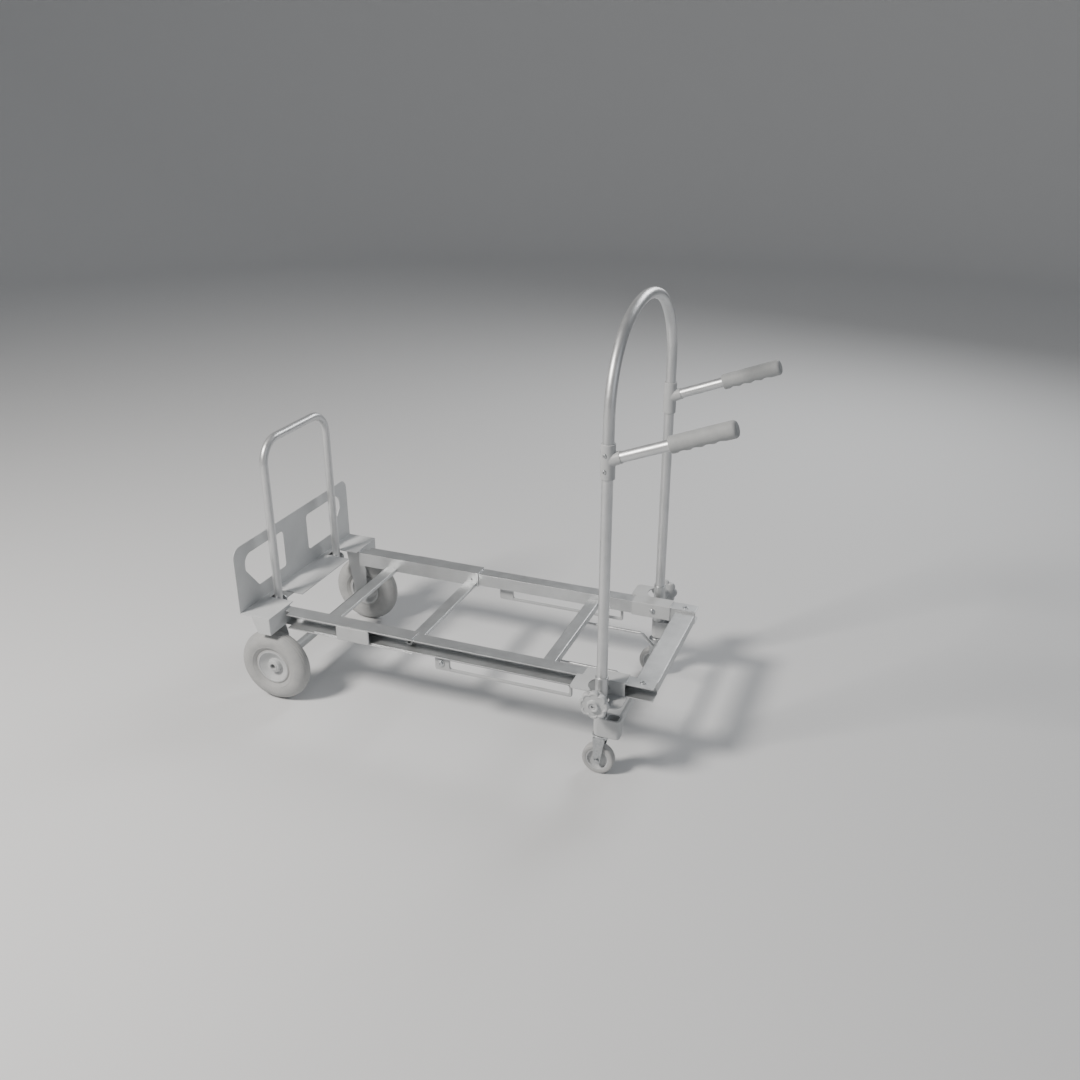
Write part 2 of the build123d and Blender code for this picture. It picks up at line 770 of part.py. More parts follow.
with BuildPart() as handle_tube:
    with BuildLine() as handle_line:
        Line((handle_x, -handle_y, tube_bottom), (handle_x, -handle_y, arch_leg_top))
        TangentArc(
            (handle_x, -handle_y, arch_leg_top), (handle_x, -touch_y, touch_z), tangent=(0, 0, 1),
        )
        ThreePointArc(
            (handle_x, -touch_y, touch_z), (handle_x, 0, arch_top), (handle_x, touch_y, touch_z),
        )
        TangentArc(
            (handle_x, handle_y, arch_leg_top), (handle_x, touch_y, touch_z), tangent=(0, 0, 1),
        )
        Line((handle_x, handle_y, arch_leg_top), (handle_x, handle_y, tube_bottom))
    with BuildSketch(Plane((handle_x, -handle_y, tube_bottom), z_dir=(0, 0, 1))):
        Circle(tube_r)
        Circle(tube_r - tube_wall, mode=Mode.SUBTRACT)
    sweep(path=handle_line.wires()[0])
    for leg_y in (handle_y, -handle_y):
        rod_y(
            handle_x, leg_y - 2 * tube_r, leg_y + 2 * tube_r, pivot_z,
            pivot_bolt_r + pin_gap, Mode.SUBTRACT,
        )
save(handle_tube, "handle_tube")

sleeve_bottom = cup_bottom + cup_floor
with BuildPart() as socket_sleeve:
    rod_z(handle_x, handle_y, sleeve_bottom, sleeve_top, sleeve_r)
    fillet(socket_sleeve.edges().filter_by(GeomType.CIRCLE).sort_by(Axis.Z)[-1], sleeve_rim_r)
    rod_z(
        handle_x, handle_y, sleeve_bottom - cut_over, sleeve_top + cut_over,
        tube_r + sleeve_fit, Mode.SUBTRACT,
    )
    rod_y(
        handle_x, handle_y - 2 * sleeve_r, handle_y + 2 * sleeve_r, pivot_z,
        pivot_bolt_r + pin_gap, Mode.SUBTRACT,
    )
save_pair(socket_sleeve, "socket_sleeve")


def cup_outline():
    """Outline of the cup: round behind, where it follows the sleeve, and squarer in front."""
    with BuildSketch(mode=Mode.PRIVATE) as outline:
        with Locations((at_x((cup_front - cup_half_d) / 2), handle_y)):
            Rectangle(cup_front + cup_half_d, 2 * cup_half_d)
        fillet(outline.vertices().group_by(Axis.X)[-1], cup_front_r)
        fillet(outline.vertices().group_by(Axis.X)[0], cup_back_r)
    add(outline.sketch)


cup_top = cup_bottom + cup_h
with BuildPart() as caster_cup:
    with BuildSketch(Plane.XY.offset(cup_bottom)):
        cup_outline()
    extrude(amount=cup_h)
    fillet(caster_cup.faces().sort_by(Axis.Z)[0].edges(), cup_rim_r)
    rod_z(handle_x, handle_y, sleeve_bottom, cup_top + cut_over, sleeve_r, Mode.SUBTRACT)
    with BuildSketch(Plane.XY.offset(sleeve_bottom)):
        with Locations((at_x(pocket_x), handle_y)):
            RectangleRounded(pocket_l, pocket_d, pocket_r)
    extrude(amount=cup_h, mode=Mode.SUBTRACT)
    rod_z(handle_x, caster_y, cup_bottom - cut_over, sleeve_bottom + cut_over, kingpin_r, Mode.SUBTRACT)
save_pair(caster_cup, "caster_cup")

with BuildPart() as caster_strap:
    block(at_x(strap_back), at_x(strap_back) + strap_t, -handle_y, handle_y, strap_low, cup_top)
    fillet(caster_strap.edges().filter_by(Axis.Y), strap_r)
    with BuildSketch(Plane.XY.offset(strap_low - cut_over)):
        cup_outline()
        mirror(about=Plane.XZ)
    extrude(amount=cup_h, mode=Mode.SUBTRACT)
save(caster_strap, "caster_strap")

arm_plane = Plane(
    (handle_x, handle_y, arm_z), x_dir=(0, 1, 0),
    z_dir=(cos(radians(arm_tilt)), 0, sin(radians(arm_tilt))),
)
screw_seat_y = handle_y + tube_r + tee_screw_seat
screw_face_y = handle_y + tee_r + tee_screw_proud
with BuildPart() as tee_sleeve:
    rod_z(handle_x, handle_y, tee_low, tee_high, tee_r)
    fillet(tee_sleeve.edges().filter_by(GeomType.CIRCLE), tee_edge_r)
    with BuildSketch(arm_plane):
        Circle(arm_boss_root_r)
    with BuildSketch(arm_plane.offset(arm_boss_end)):
        Circle(arm_boss_end_r)
    loft()
    with BuildSketch(arm_plane.offset(arm_root)):
        Circle(arm_r)
    extrude(amount=arm_boss_end, mode=Mode.SUBTRACT)
    rod_z(
        handle_x, handle_y, tee_low - cut_over, tee_high + cut_over,
        tube_r + sleeve_fit, Mode.SUBTRACT,
    )
    for z in tee_screw_heights:
        rod_y(at_x(tee_screw_x), screw_seat_y, screw_face_y, z, tee_screw_r, Mode.SUBTRACT)
save_pair(tee_sleeve, "tee_sleeve")

with BuildPart() as tee_screws:
    for z in tee_screw_heights:
        rod_y(at_x(tee_screw_x), screw_seat_y, screw_face_y, z, tee_screw_r)
        rod_y(
            at_x(tee_screw_x), handle_y + tee_r, screw_face_y + cut_over, z,
            tee_screw_socket_r, Mode.SUBTRACT,
        )
save_group(tee_screws, "tee_screws")

with BuildPart() as grip_arm:
    with BuildSketch(arm_plane.offset(arm_root)):
        Circle(arm_r)
        Circle(arm_r - arm_wall, mode=Mode.SUBTRACT)
    extrude(amount=grip_start + grip_len - arm_root - grip_end_cap)
    rod_z(handle_x, handle_y, tee_low, tee_high, tube_r + sleeve_fit, Mode.SUBTRACT)
save_pair(grip_arm, "grip_arm")

dip_plane = Plane(
    (handle_x, handle_y - 2 * grip_r, arm_z),
    x_dir=(cos(radians(arm_tilt)), 0, sin(radians(arm_tilt))), z_dir=(0, -1, 0),
)
with BuildPart() as grip:
    with BuildSketch(arm_plane.offset(grip_start)):
        Circle(grip_r)
    extrude(amount=grip_len)
    end_rims = grip.edges().filter_by(GeomType.CIRCLE).sort_by(Axis.X)
    fillet(end_rims[-1], grip_end_r)
    fillet(grip.edges().filter_by(GeomType.CIRCLE).sort_by(Axis.X)[0], grip_near_r)
    with BuildSketch(dip_plane):
        for i in range(grip_dips):
            with Locations((grip_dip_start + i * grip_dip_pitch, -grip_dip_floor - grip_dip_r)):
                Circle(grip_dip_r)
    extrude(amount=-4 * grip_r, mode=Mode.SUBTRACT)
    with BuildSketch(arm_plane.offset(grip_start - cut_over)):
        Circle(arm_r)
    extrude(amount=grip_len + cut_over - grip_end_cap, mode=Mode.SUBTRACT)
save_pair(grip, "grip")

# ================= knobs =================
knob_neck_in = handle_y + sleeve_r + knob_neck_gap
with BuildPart() as knob:
    with BuildSketch(side_plane(knob_in)):
        with Locations((handle_x, pivot_z)):
            Circle(knob_r - knob_lobe_r + 2)
            with PolarLocations(knob_r - knob_lobe_r, knob_lobes):
                Circle(knob_lobe_r)
    extrude(amount=-knob_rim_t)
    fillet(knob.faces().sort_by(Axis.Y)[-1].edges(), knob_edge_r)
    rod_y(handle_x, knob_neck_in, knob_in, pivot_z, knob_neck_r)
    rod_y(handle_x, knob_in + knob_rim_t, knob_out, pivot_z, knob_boss_r)
    fillet(knob.edges().filter_by(GeomType.CIRCLE).sort_by(Axis.Y)[-1], 2.0)
    rod_y(
        handle_x, knob_neck_in - cut_over, knob_out - knob_cap_t, pivot_z,
        pivot_bolt_r + pin_gap, Mode.SUBTRACT,
    )
    rod_y(handle_x, knob_out - knob_dimple, knob_out + cut_over, pivot_z, knob_dimple_r, Mode.SUBTRACT)
save_pair(knob, "knob")

# ================= casters =================
head_bottom = cup_bottom - head_t
crown_top = head_bottom - body_gap
crown_bottom = crown_top - crown_t
caster_x = at_x(-caster_trail)
fork_in = caster_hub_w / 2 + fork_gap
fork_out = fork_in + fork_t

with BuildPart() as caster_mount:
    rod_z(handle_x, caster_y, head_bottom, cup_bottom, head_r)
    fillet(caster_mount.edges().filter_by(GeomType.CIRCLE), head_edge_r)
    rod_z(handle_x, caster_y, crown_bottom - body_gap, cup_bottom + cup_floor, kingpin_r)
    rod_z(
        handle_x, caster_y, crown_bottom - kingpin_nut_t, crown_bottom - body_gap,
        kingpin_nut_r,
    )
save_pair(caster_mount, "caster_mount")


def fork_blade(y, thickness):
    """One tapering side of the fork, from the crown down round the axle."""
    with BuildSketch(side_plane(y)) as blade:
        with BuildLine():
            Polyline(
                (at_x(fork_back), crown_bottom + crown_t / 2), (at_x(fork_front), crown_bottom + crown_t / 2),
                (caster_x + fork_eye_r, caster_r), (caster_x, caster_r - fork_eye_r),
                (caster_x - fork_eye_r, caster_r), close=True,
            )
        make_face()
        with Locations((caster_x, caster_r)):
            Circle(fork_eye_r)
    extrude(blade.sketch, amount=thickness)


with BuildPart() as caster_fork:
    rod_z(handle_x, caster_y, crown_bottom, crown_top, crown_r)
    fork_blade(caster_y + fork_in, -fork_t)
    fork_blade(caster_y - fork_in, fork_t)
    rod_z(
        handle_x, caster_y, crown_bottom - cut_over, crown_top + cut_over,
        kingpin_r + pin_gap, Mode.SUBTRACT,
    )
    rod_y(
        caster_x, caster_y - fork_out - cut_over, caster_y + fork_out + cut_over,
        caster_r, caster_axle_r, Mode.SUBTRACT,
    )
save_pair(caster_fork, "caster_fork")

with BuildPart() as caster_axle:
    rod_y(caster_x, caster_y - fork_out - axle_nut_t, caster_y + fork_out, caster_r, caster_axle_r)
    rod_y(caster_x, caster_y - fork_out - axle_nut_t, caster_y - fork_out, caster_r, axle_nut_r)
    rod_y(caster_x, caster_y + fork_out, caster_y + fork_out + axle_head_t, caster_r, axle_nut_r)
    rod_y(
        caster_x, caster_y + fork_out + axle_head_t / 2, caster_y + fork_out + axle_head_t + cut_over,
        caster_r, screw_socket_r, Mode.SUBTRACT,
    )
save_pair(caster_axle, "caster_axle")

with BuildPart() as caster_core:
    rod_y(caster_x, caster_y - caster_w / 2 + 1, caster_y + caster_w / 2 - 1, caster_r, caster_core_r)
    for direction in (1, -1):
        rod_y(
            caster_x, caster_y + direction * caster_web_t / 2, caster_y + direction * caster_w,
            caster_r, caster_core_r - caster_rim_t, Mode.SUBTRACT,
        )
    rod_y(caster_x, caster_y - caster_hub_w / 2, caster_y + caster_hub_w / 2, caster_r, caster_hub_r)
    rod_y(
        caster_x, caster_y - caster_w, caster_y + caster_w, caster_r,
        caster_axle_r + pin_gap, Mode.SUBTRACT,
    )
save_pair(caster_core, "caster_core")

with BuildPart() as caster_tread:
    rod_y(caster_x, caster_y - caster_w / 2, caster_y + caster_w / 2, caster_r, caster_r)
    fillet(caster_tread.edges().filter_by(GeomType.CIRCLE), caster_edge_r)
    rod_y(caster_x, caster_y - caster_w, caster_y + caster_w, caster_r, caster_core_r, Mode.SUBTRACT)
save_pair(caster_tread, "caster_tread")
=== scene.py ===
import bpy
import json
from math import atan2, cos, pi, radians, sin, sqrt, tan
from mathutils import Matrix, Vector


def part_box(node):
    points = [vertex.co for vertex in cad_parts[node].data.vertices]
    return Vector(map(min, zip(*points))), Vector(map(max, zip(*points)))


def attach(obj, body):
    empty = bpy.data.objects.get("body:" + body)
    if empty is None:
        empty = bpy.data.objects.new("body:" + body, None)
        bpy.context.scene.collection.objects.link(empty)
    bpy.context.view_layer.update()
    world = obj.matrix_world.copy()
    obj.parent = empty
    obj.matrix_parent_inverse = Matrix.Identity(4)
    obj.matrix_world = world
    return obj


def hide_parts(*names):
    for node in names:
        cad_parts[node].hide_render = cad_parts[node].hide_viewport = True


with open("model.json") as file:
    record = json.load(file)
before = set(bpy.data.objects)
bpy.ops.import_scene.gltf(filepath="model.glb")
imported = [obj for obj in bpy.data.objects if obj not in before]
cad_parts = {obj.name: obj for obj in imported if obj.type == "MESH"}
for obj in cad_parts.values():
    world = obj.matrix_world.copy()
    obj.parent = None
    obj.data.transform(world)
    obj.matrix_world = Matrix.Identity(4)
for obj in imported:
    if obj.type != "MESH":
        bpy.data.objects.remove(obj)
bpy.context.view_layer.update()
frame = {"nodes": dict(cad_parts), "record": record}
nodes = frame["nodes"]
body_of_node = {}
for body, members in frame["record"]["behaviour"]["bodies"].items():
    for member in members:
        body_of_node[member] = body
slot_of_node = {part["node"]: part["material_slot"] for part in frame["record"]["subparts"]}

MM = 0.001
WELD_GAP = 0.000005  # points closer than this are made one, in metres
CAD_WELD_GAP = 0.00001  # the same, on meshes that come from the CAD
SMOOTH_ANGLE = 35.0  # edges flatter than this are shaded smooth, in degrees
X_AXIS = (1, 0, 0)
Y_AXIS = (0, 1, 0)


# ---------------------------------------------------------------- colours and nodes
def hex_colour(text):
    """Linear colour from an sRGB hex value, by the sRGB transfer curve."""
    values = [int(text[i:i + 2], 16) / 255 for i in (1, 3, 5)]
    linear = [v / 12.92 if v <= 0.04045 else ((v + 0.055) / 1.055) ** 2.4 for v in values]
    return (*linear, 1.0)


def grey(value):
    return (value, value, value, 1.0)


def per_metre(size_mm):
    """How often a feature of this size in millimetres fits in a metre, which is a pattern's scale."""
    return 1000 / size_mm


def add_node(tree, kind, links=(), stops=(), **settings):
    """Adds a node with its settings, the (place, colour) stops of a ramp, and (input, socket) links."""
    node = tree.nodes.new(kind)
    for key, value in settings.items():
        if key in node.inputs.keys():
            node.inputs[key].default_value = value
        else:
            setattr(node, key, value)
    if stops:
        for element, (place, colour) in zip(node.color_ramp.elements, stops):
            element.position = place
            element.color = colour
    for name, socket in links:
        tree.links.new(socket, node.inputs[name])
    return node


def new_material(name):
    """An empty material with its Principled shader, and its tree, shader and object coordinates."""
    material = bpy.data.materials.new(name)
    material.use_nodes = True
    tree = material.node_tree
    shader = tree.nodes["Principled BSDF"]
    where = add_node(tree, "ShaderNodeTexCoord").outputs["Object"]
    return material, tree, shader, where


def satin_anodised(name, colour, lines):
    """Anodised aluminium, extruded and satin etched: a soft metal sheen with die lines along its length."""
    material, tree, shader, where = new_material(name)
    # the oxide layer scatters part of the light, so it is a little less than a bare metal
    shader.inputs["Metallic"].default_value = 0.8
    # real die lines are 0.1 mm apart; they are drawn 1.1 mm apart so that they show
    place = add_node(tree, "ShaderNodeMapping", [("Vector", where)], Scale=lines)
    streak = add_node(
        tree, "ShaderNodeTexNoise", [("Vector", place.outputs["Vector"])],
        Scale=per_metre(1.1), Detail=3, Roughness=0.6,
    )
    # cloudy patches of the etch, about 70 mm across
    cloud = add_node(
        tree, "ShaderNodeTexNoise", [("Vector", where)],
        Scale=per_metre(70), Detail=4, Roughness=0.6,
    )
    # rub marks from 18 mm down to 0.3 mm
    rub = add_node(
        tree, "ShaderNodeTexNoise", [("Vector", where)],
        Scale=per_metre(18), Detail=6, Roughness=0.75,
    )
    tint = add_node(
        tree, "ShaderNodeValToRGB", [("Fac", cloud.outputs["Fac"])],
        stops=((0.3, hex_colour(colour[0])), (0.7, hex_colour(colour[1]))),
    )
    die_lines = add_node(
        tree, "ShaderNodeValToRGB", [("Fac", streak.outputs["Fac"])],
        stops=((0.35, grey(0.82)), (0.65, grey(1.0))),
    )
    shade = add_node(
        tree, "ShaderNodeMix", [(6, tint.outputs["Color"]), (7, die_lines.outputs["Color"])],
        data_type="RGBA", blend_type="MULTIPLY", Factor=0.35,
    )
    tree.links.new(shade.outputs[2], shader.inputs["Base Color"])
    dull = add_node(
        tree, "ShaderNodeValToRGB", [("Fac", rub.outputs["Fac"])],
        stops=((0.35, grey(0.36)), (0.75, grey(0.5))),
    )
    tree.links.new(dull.outputs["Color"], shader.inputs["Roughness"])
    relief = add_node(
        tree, "ShaderNodeBump", [("Height", streak.outputs["Fac"])], Strength=0.06, Distance=0.0001,
    )
    marks = add_node(
        tree, "ShaderNodeBump", [("Height", rub.outputs["Fac"]), ("Normal", relief.outputs["Normal"])],
        Strength=0.02, Distance=0.0002,
    )
    tree.links.new(marks.outputs["Normal"], shader.inputs["Normal"])
    return material


def powder_coat(name, colour):
    """Powder-coated steel or aluminium: orange peel, a faint gloss, and patches dulled by handling."""
    material, tree, shader, where = new_material(name)
    shader.inputs["Specular IOR Level"].default_value = 0.45
    shader.inputs["Coat Weight"].default_value = 0.12
    shader.inputs["Coat Roughness"].default_value = 0.25
    # orange peel about 2 mm across, a powder grain of 0.4 mm on it, and patches 110 mm across
    peel = add_node(
        tree, "ShaderNodeTexNoise", [("Vector", where)],
        Scale=per_metre(1.9), Detail=2, Roughness=0.5,
    )
    grain = add_node(
        tree, "ShaderNodeTexNoise", [("Vector", where)],
        Scale=per_metre(0.4), Detail=2, Roughness=0.5,
    )
    patch = add_node(
        tree, "ShaderNodeTexNoise", [("Vector", where)],
        Scale=per_metre(110), Detail=5, Roughness=0.65,
    )
    # scuffs 14 mm wide, drawn out four times across the cart
    place = add_node(tree, "ShaderNodeMapping", [("Vector", where)], Scale=(1, 0.25, 1))
    scuff = add_node(
        tree, "ShaderNodeTexNoise", [("Vector", place.outputs["Vector"])],
        Scale=per_metre(14), Detail=8, Roughness=0.8,
    )
    tint = add_node(
        tree, "ShaderNodeValToRGB", [("Fac", patch.outputs["Fac"])],
        stops=((0.3, hex_colour(colour[0])), (0.7, hex_colour(colour[1]))),
    )
    wear = add_node(
        tree, "ShaderNodeValToRGB", [("Fac", scuff.outputs["Fac"])],
        stops=((0.66, grey(0.0)), (0.72, grey(0.35))),
    )
    worn = add_node(
        tree, "ShaderNodeMix", [(0, wear.outputs["Color"]), (6, tint.outputs["Color"])], data_type="RGBA",
    )
    worn.inputs[7].default_value = hex_colour(colour[2])
    tree.links.new(worn.outputs[2], shader.inputs["Base Color"])
    dull = add_node(
        tree, "ShaderNodeValToRGB", [("Fac", patch.outputs["Fac"])],
        stops=((0.35, grey(0.38)), (0.7, grey(0.52))),
    )
    tree.links.new(dull.outputs["Color"], shader.inputs["Roughness"])
    skin = add_node(
        tree, "ShaderNodeBump", [("Height", peel.outputs["Fac"])], Strength=0.16, Distance=0.0004,
    )
    powder = add_node(
        tree, "ShaderNodeBump", [("Height", grain.outputs["Fac"]), ("Normal", skin.outputs["Normal"])],
        Strength=0.08, Distance=0.0001,
    )
    tree.links.new(powder.outputs["Normal"], shader.inputs["Normal"])
    return material


def zinc_plate(name, colour):
    """Bright zinc or chrome plated steel: cool bright metal, faintly blotched, with a gloss that wanders."""
    material, tree, shader, where = new_material(name)
    shader.inputs["Metallic"].default_value = 1.0
    # plating blotches about 6 mm across, over a rolled grain of 1.4 mm
    blotch = add_node(
        tree, "ShaderNodeTexNoise", [("Vector", where)],
        Scale=per_metre(6.2), Detail=4, Roughness=0.6,
    )
    fine = add_node(
        tree, "ShaderNodeTexNoise", [("Vector", where)],
        Scale=per_metre(1.4), Detail=2, Roughness=0.5,
    )
    tint = add_node(
        tree, "ShaderNodeValToRGB", [("Fac", blotch.outputs["Fac"])],
        stops=((0.35, hex_colour(colour[0])), (0.65, hex_colour(colour[1]))),
    )
    tree.links.new(tint.outputs["Color"], shader.inputs["Base Color"])
    dull = add_node(
        tree, "ShaderNodeValToRGB", [("Fac", blotch.outputs["Fac"])],
        stops=((0.3, grey(0.28)), (0.7, grey(0.44))),
    )
    tree.links.new(dull.outputs["Color"], shader.inputs["Roughness"])
    rolled = add_node(
        tree, "ShaderNodeBump", [("Height", fine.outputs["Fac"])], Strength=0.02, Distance=0.0001,
    )
    tree.links.new(rolled.outputs["Normal"], shader.inputs["Normal"])
    return material


def moulded_nylon(name, colour, roughness):
    """Injection-moulded nylon: even colour, a spark-eroded grain, and scuffs that go pale."""
    material, tree, shader, where = new_material(name)
    shader.inputs["IOR"].default_value = 1.53
    # the mould's grain is 0.6 mm wide
    cells = add_node(tree, "ShaderNodeTexVoronoi", [("Vector", where)], Scale=per_metre(0.6))
    # flow shades 42 mm across, and scuffs of 8 mm
    flow = add_node(
        tree, "ShaderNodeTexNoise", [("Vector", where)],
        Scale=per_metre(42), Detail=4, Roughness=0.6,
    )
    scuff = add_node(
        tree, "ShaderNodeTexNoise", [("Vector", where)],
        Scale=per_metre(8.3), Detail=8, Roughness=0.8,
    )
    tint = add_node(
        tree, "ShaderNodeValToRGB", [("Fac", flow.outputs["Fac"])],
        stops=((0.3, hex_colour(colour[0])), (0.7, hex_colour(colour[1]))),
    )
    wear = add_node(
        tree, "ShaderNodeValToRGB", [("Fac", scuff.outputs["Fac"])],
        stops=((0.62, grey(0.0)), (0.72, grey(0.3))),
    )
    pale = add_node(
        tree, "ShaderNodeMix", [(0, wear.outputs["Color"]), (6, tint.outputs["Color"])], data_type="RGBA",
    )
    pale.inputs[7].default_value = hex_colour(colour[2])
    tree.links.new(pale.outputs[2], shader.inputs["Base Color"])
    dull = add_node(
        tree, "ShaderNodeValToRGB", [("Fac", scuff.outputs["Fac"])],
        stops=((0.4, grey(roughness)), (0.7, grey(roughness + 0.14))),
    )
    tree.links.new(dull.outputs["Color"], shader.inputs["Roughness"])
    grain = add_node(
        tree, "ShaderNodeBump", [("Height", cells.outputs["Distance"])], Strength=0.16, Distance=0.0002,
    )
    tree.links.new(grain.outputs["Normal"], shader.inputs["Normal"])
    return material


def moulded_rubber(name, colour, roughness, pebble_mm, depth):
    """Moulded rubber or soft vinyl: a dull, pebbled skin with drifts of dust."""
    material, tree, shader, where = new_material(name)
    shader.inputs["IOR"].default_value = 1.52
    shader.inputs["Specular IOR Level"].default_value = 0.35
    cells = add_node(
        tree, "ShaderNodeTexVoronoi", [("Vector", where)], feature="SMOOTH_F1", Scale=per_metre(pebble_mm),
    )
    # dust in drifts of 33 mm, and pits of 1.1 mm
    dust = add_node(
        tree, "ShaderNodeTexNoise", [("Vector", where)],
        Scale=per_metre(33), Detail=7, Roughness=0.7,
    )
    pits = add_node(
        tree, "ShaderNodeTexNoise", [("Vector", where)],
        Scale=per_metre(1.1), Detail=3, Roughness=0.6,
    )
    tint = add_node(
        tree, "ShaderNodeValToRGB", [("Fac", dust.outputs["Fac"])],
        stops=((0.35, hex_colour(colour[0])), (0.72, hex_colour(colour[1]))),
    )
    tree.links.new(tint.outputs["Color"], shader.inputs["Base Color"])
    dull = add_node(
        tree, "ShaderNodeValToRGB", [("Fac", dust.outputs["Fac"])],
        stops=((0.3, grey(roughness)), (0.7, grey(roughness + 0.15))),
    )
    tree.links.new(dull.outputs["Color"], shader.inputs["Roughness"])
    pebbles = add_node(
        tree, "ShaderNodeBump", [("Height", cells.outputs["Distance"])], Strength=depth, Distance=0.0006,
    )
    pitted = add_node(
        tree, "ShaderNodeBump", [("Height", pits.outputs["Fac"]), ("Normal", pebbles.outputs["Normal"])],
        Strength=0.1, Distance=0.0002,
    )
    tree.links.new(pitted.outputs["Normal"], shader.inputs["Normal"])
    return material


# die lines are the noise drawn out fifty times along the extruded length
ALONG_X = (0.02, 1, 1)
ALONG_Z = (1, 1, 0.02)
finish = {
    "rail_aluminium": satin_anodised("satin_anodised_rail", ("#c3c5c6", "#d2d4d5"), ALONG_X),
    "nose_aluminium": powder_coat("powder_coated_plate", ("#c0c2c3", "#cbcdce", "#dcdddd")),
    "tube_aluminium": satin_anodised("satin_anodised_tube", ("#cccecf", "#dadbdc"), ALONG_Z),
    "sleeve_aluminium": satin_anodised("satin_anodised_sleeve", ("#c4c6c7", "#d2d3d4"), ALONG_Z),
    "bright_zinc": zinc_plate("bright_zinc_plate", ("#b9bcbe", "#cfd1d2")),
    "bracket_steel": powder_coat("powder_coated_bracket", ("#b6b8b9", "#c2c4c5", "#d8d9d9")),
    "fork_steel": zinc_plate("zinc_plated_pressing", ("#b3b6b8", "#c9cbcc")),
    "axle_steel": powder_coat("powder_coated_axle", ("#b0b2b3", "#bcbebf", "#d0d1d1")),
    "rod_chrome": zinc_plate("polished_plated_rod", ("#c8cacb", "#d9dadb")),
    "hub_nylon": moulded_nylon("grey_nylon_boss", ("#8f9192", "#999b9c", "#b4b5b5"), 0.46),
    "cap_nylon": moulded_nylon("grey_nylon_cap", ("#7c7e80", "#868889", "#a5a6a6"), 0.42),
    "rim_nylon": moulded_nylon("light_grey_nylon_rim", ("#b4b6b7", "#bfc1c2", "#d3d4d4"), 0.4),
    "rail_pad": moulded_nylon("grey_nylon_pad", ("#adafb0", "#b8babb", "#cccdcd"), 0.48),
    "skid_nylon": moulded_nylon("grey_nylon_skid", ("#adafb0", "#b7b9ba", "#cfd0d0"), 0.45),
    "cup_nylon": moulded_nylon("grey_nylon_cup", ("#b3b5b6", "#bdbfc0", "#d0d1d1"), 0.44),
    "tee_nylon": moulded_nylon("grey_nylon_tee", ("#adafb0", "#b7b9ba", "#cccdcd"), 0.44),
    "knob_nylon": moulded_nylon("grey_nylon_knob", ("#b6b8b9", "#c0c2c3", "#d6d7d7"), 0.42),
    "grip_vinyl": moulded_rubber("pebbled_vinyl_grip", ("#9b9d9e", "#a9abab"), 0.55, 1.6, 0.5),
    "tyre_rubber": moulded_rubber("grey_tyre_rubber", ("#a1a2a2", "#b0b0af"), 0.68, 0.45, 0.12),
    "caster_tread": moulded_rubber("grey_caster_tread", ("#a4a5a5", "#b3b3b2"), 0.5, 0.4, 0.08),
}


# ---------------------------------------------------------------- modelling tools
def deselect_all():
    if bpy.context.object and bpy.context.object.mode != "OBJECT":
        bpy.ops.object.mode_set(mode="OBJECT")
    bpy.ops.object.select_all(action="DESELECT")


def pick(piece):
    """Selects one object and makes it active."""
    deselect_all()
    piece.select_set(True)
    bpy.context.view_layer.objects.active = piece


def edit(piece):
    """Goes into edit mode on one object with all of it selected."""
    pick(piece)
    bpy.ops.object.mode_set(mode="EDIT")
    bpy.ops.mesh.select_all(action="SELECT")


def leave_edit():
    bpy.ops.object.mode_set(mode="OBJECT")


def settle(piece, angle=SMOOTH_ANGLE):
    """Bakes an object's place into its mesh, turns its faces outwards and shades it smooth up to an angle."""
    pick(piece)
    bpy.ops.object.transform_apply(location=True, rotation=True, scale=True)
    edit(piece)
    bpy.ops.mesh.remove_doubles(threshold=WELD_GAP)
    bpy.ops.mesh.normals_make_consistent(inside=False)
    leave_edit()
    bpy.ops.object.shade_smooth_by_angle(angle=radians(angle))
    return piece


def rounded(piece, width, segments=3, angle=40.0):
    """Rounds a piece's sharp edges with an applied bevel."""
    pick(piece)
    bevel = piece.modifiers.new("edge", "BEVEL")
    bevel.width = width
    bevel.segments = segments
    bevel.limit_method = "ANGLE"
    bevel.angle_limit = radians(angle)
    bevel.use_clamp_overlap = True
    bevel.harden_normals = False
    bpy.ops.object.modifier_apply(modifier=bevel.name)
    return piece


def dress(piece, slot, body, *stands_for):
    """Gives a piece its finish, the body it rides on and the CAD nodes it stands for."""
    piece.data.materials.clear()
    piece.data.materials.append(finish[slot])
    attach(piece, body)
    if stands_for:
        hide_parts(*stands_for)
    return piece


def dress_as(piece, node):
    """Dresses a piece that stands for one CAD node."""
    return dress(piece, slot_of_node[node], body_of_node[node], node)


def mirrored(piece, name):
    """The mirror image of a piece across the centre plane, with its own mesh."""
    twin = bpy.data.objects.new(name, piece.data.copy())
    bpy.context.collection.objects.link(twin)
    twin.scale = (1, -1, 1)
    return settle(twin)


def softened(node, width, segments=2):
    """A copy of a CAD node with its flat faces merged and its edges rounded."""
    piece = bpy.data.objects.new(f"{node}_finished", nodes[node].data.copy())
    bpy.context.collection.objects.link(piece)
    edit(piece)
    bpy.ops.mesh.remove_doubles(threshold=CAD_WELD_GAP)
    bpy.ops.mesh.dissolve_limited(angle_limit=radians(1.0))
    leave_edit()
    rounded(piece, width, segments)
    bpy.ops.object.shade_smooth_by_angle(angle=radians(SMOOTH_ANGLE))
    flat = piece.modifiers.new("flat_faces", "WEIGHTED_NORMAL")
    flat.keep_sharp = True
    flat.weight = 100
    bpy.ops.object.modifier_apply(modifier=flat.name)
    return piece


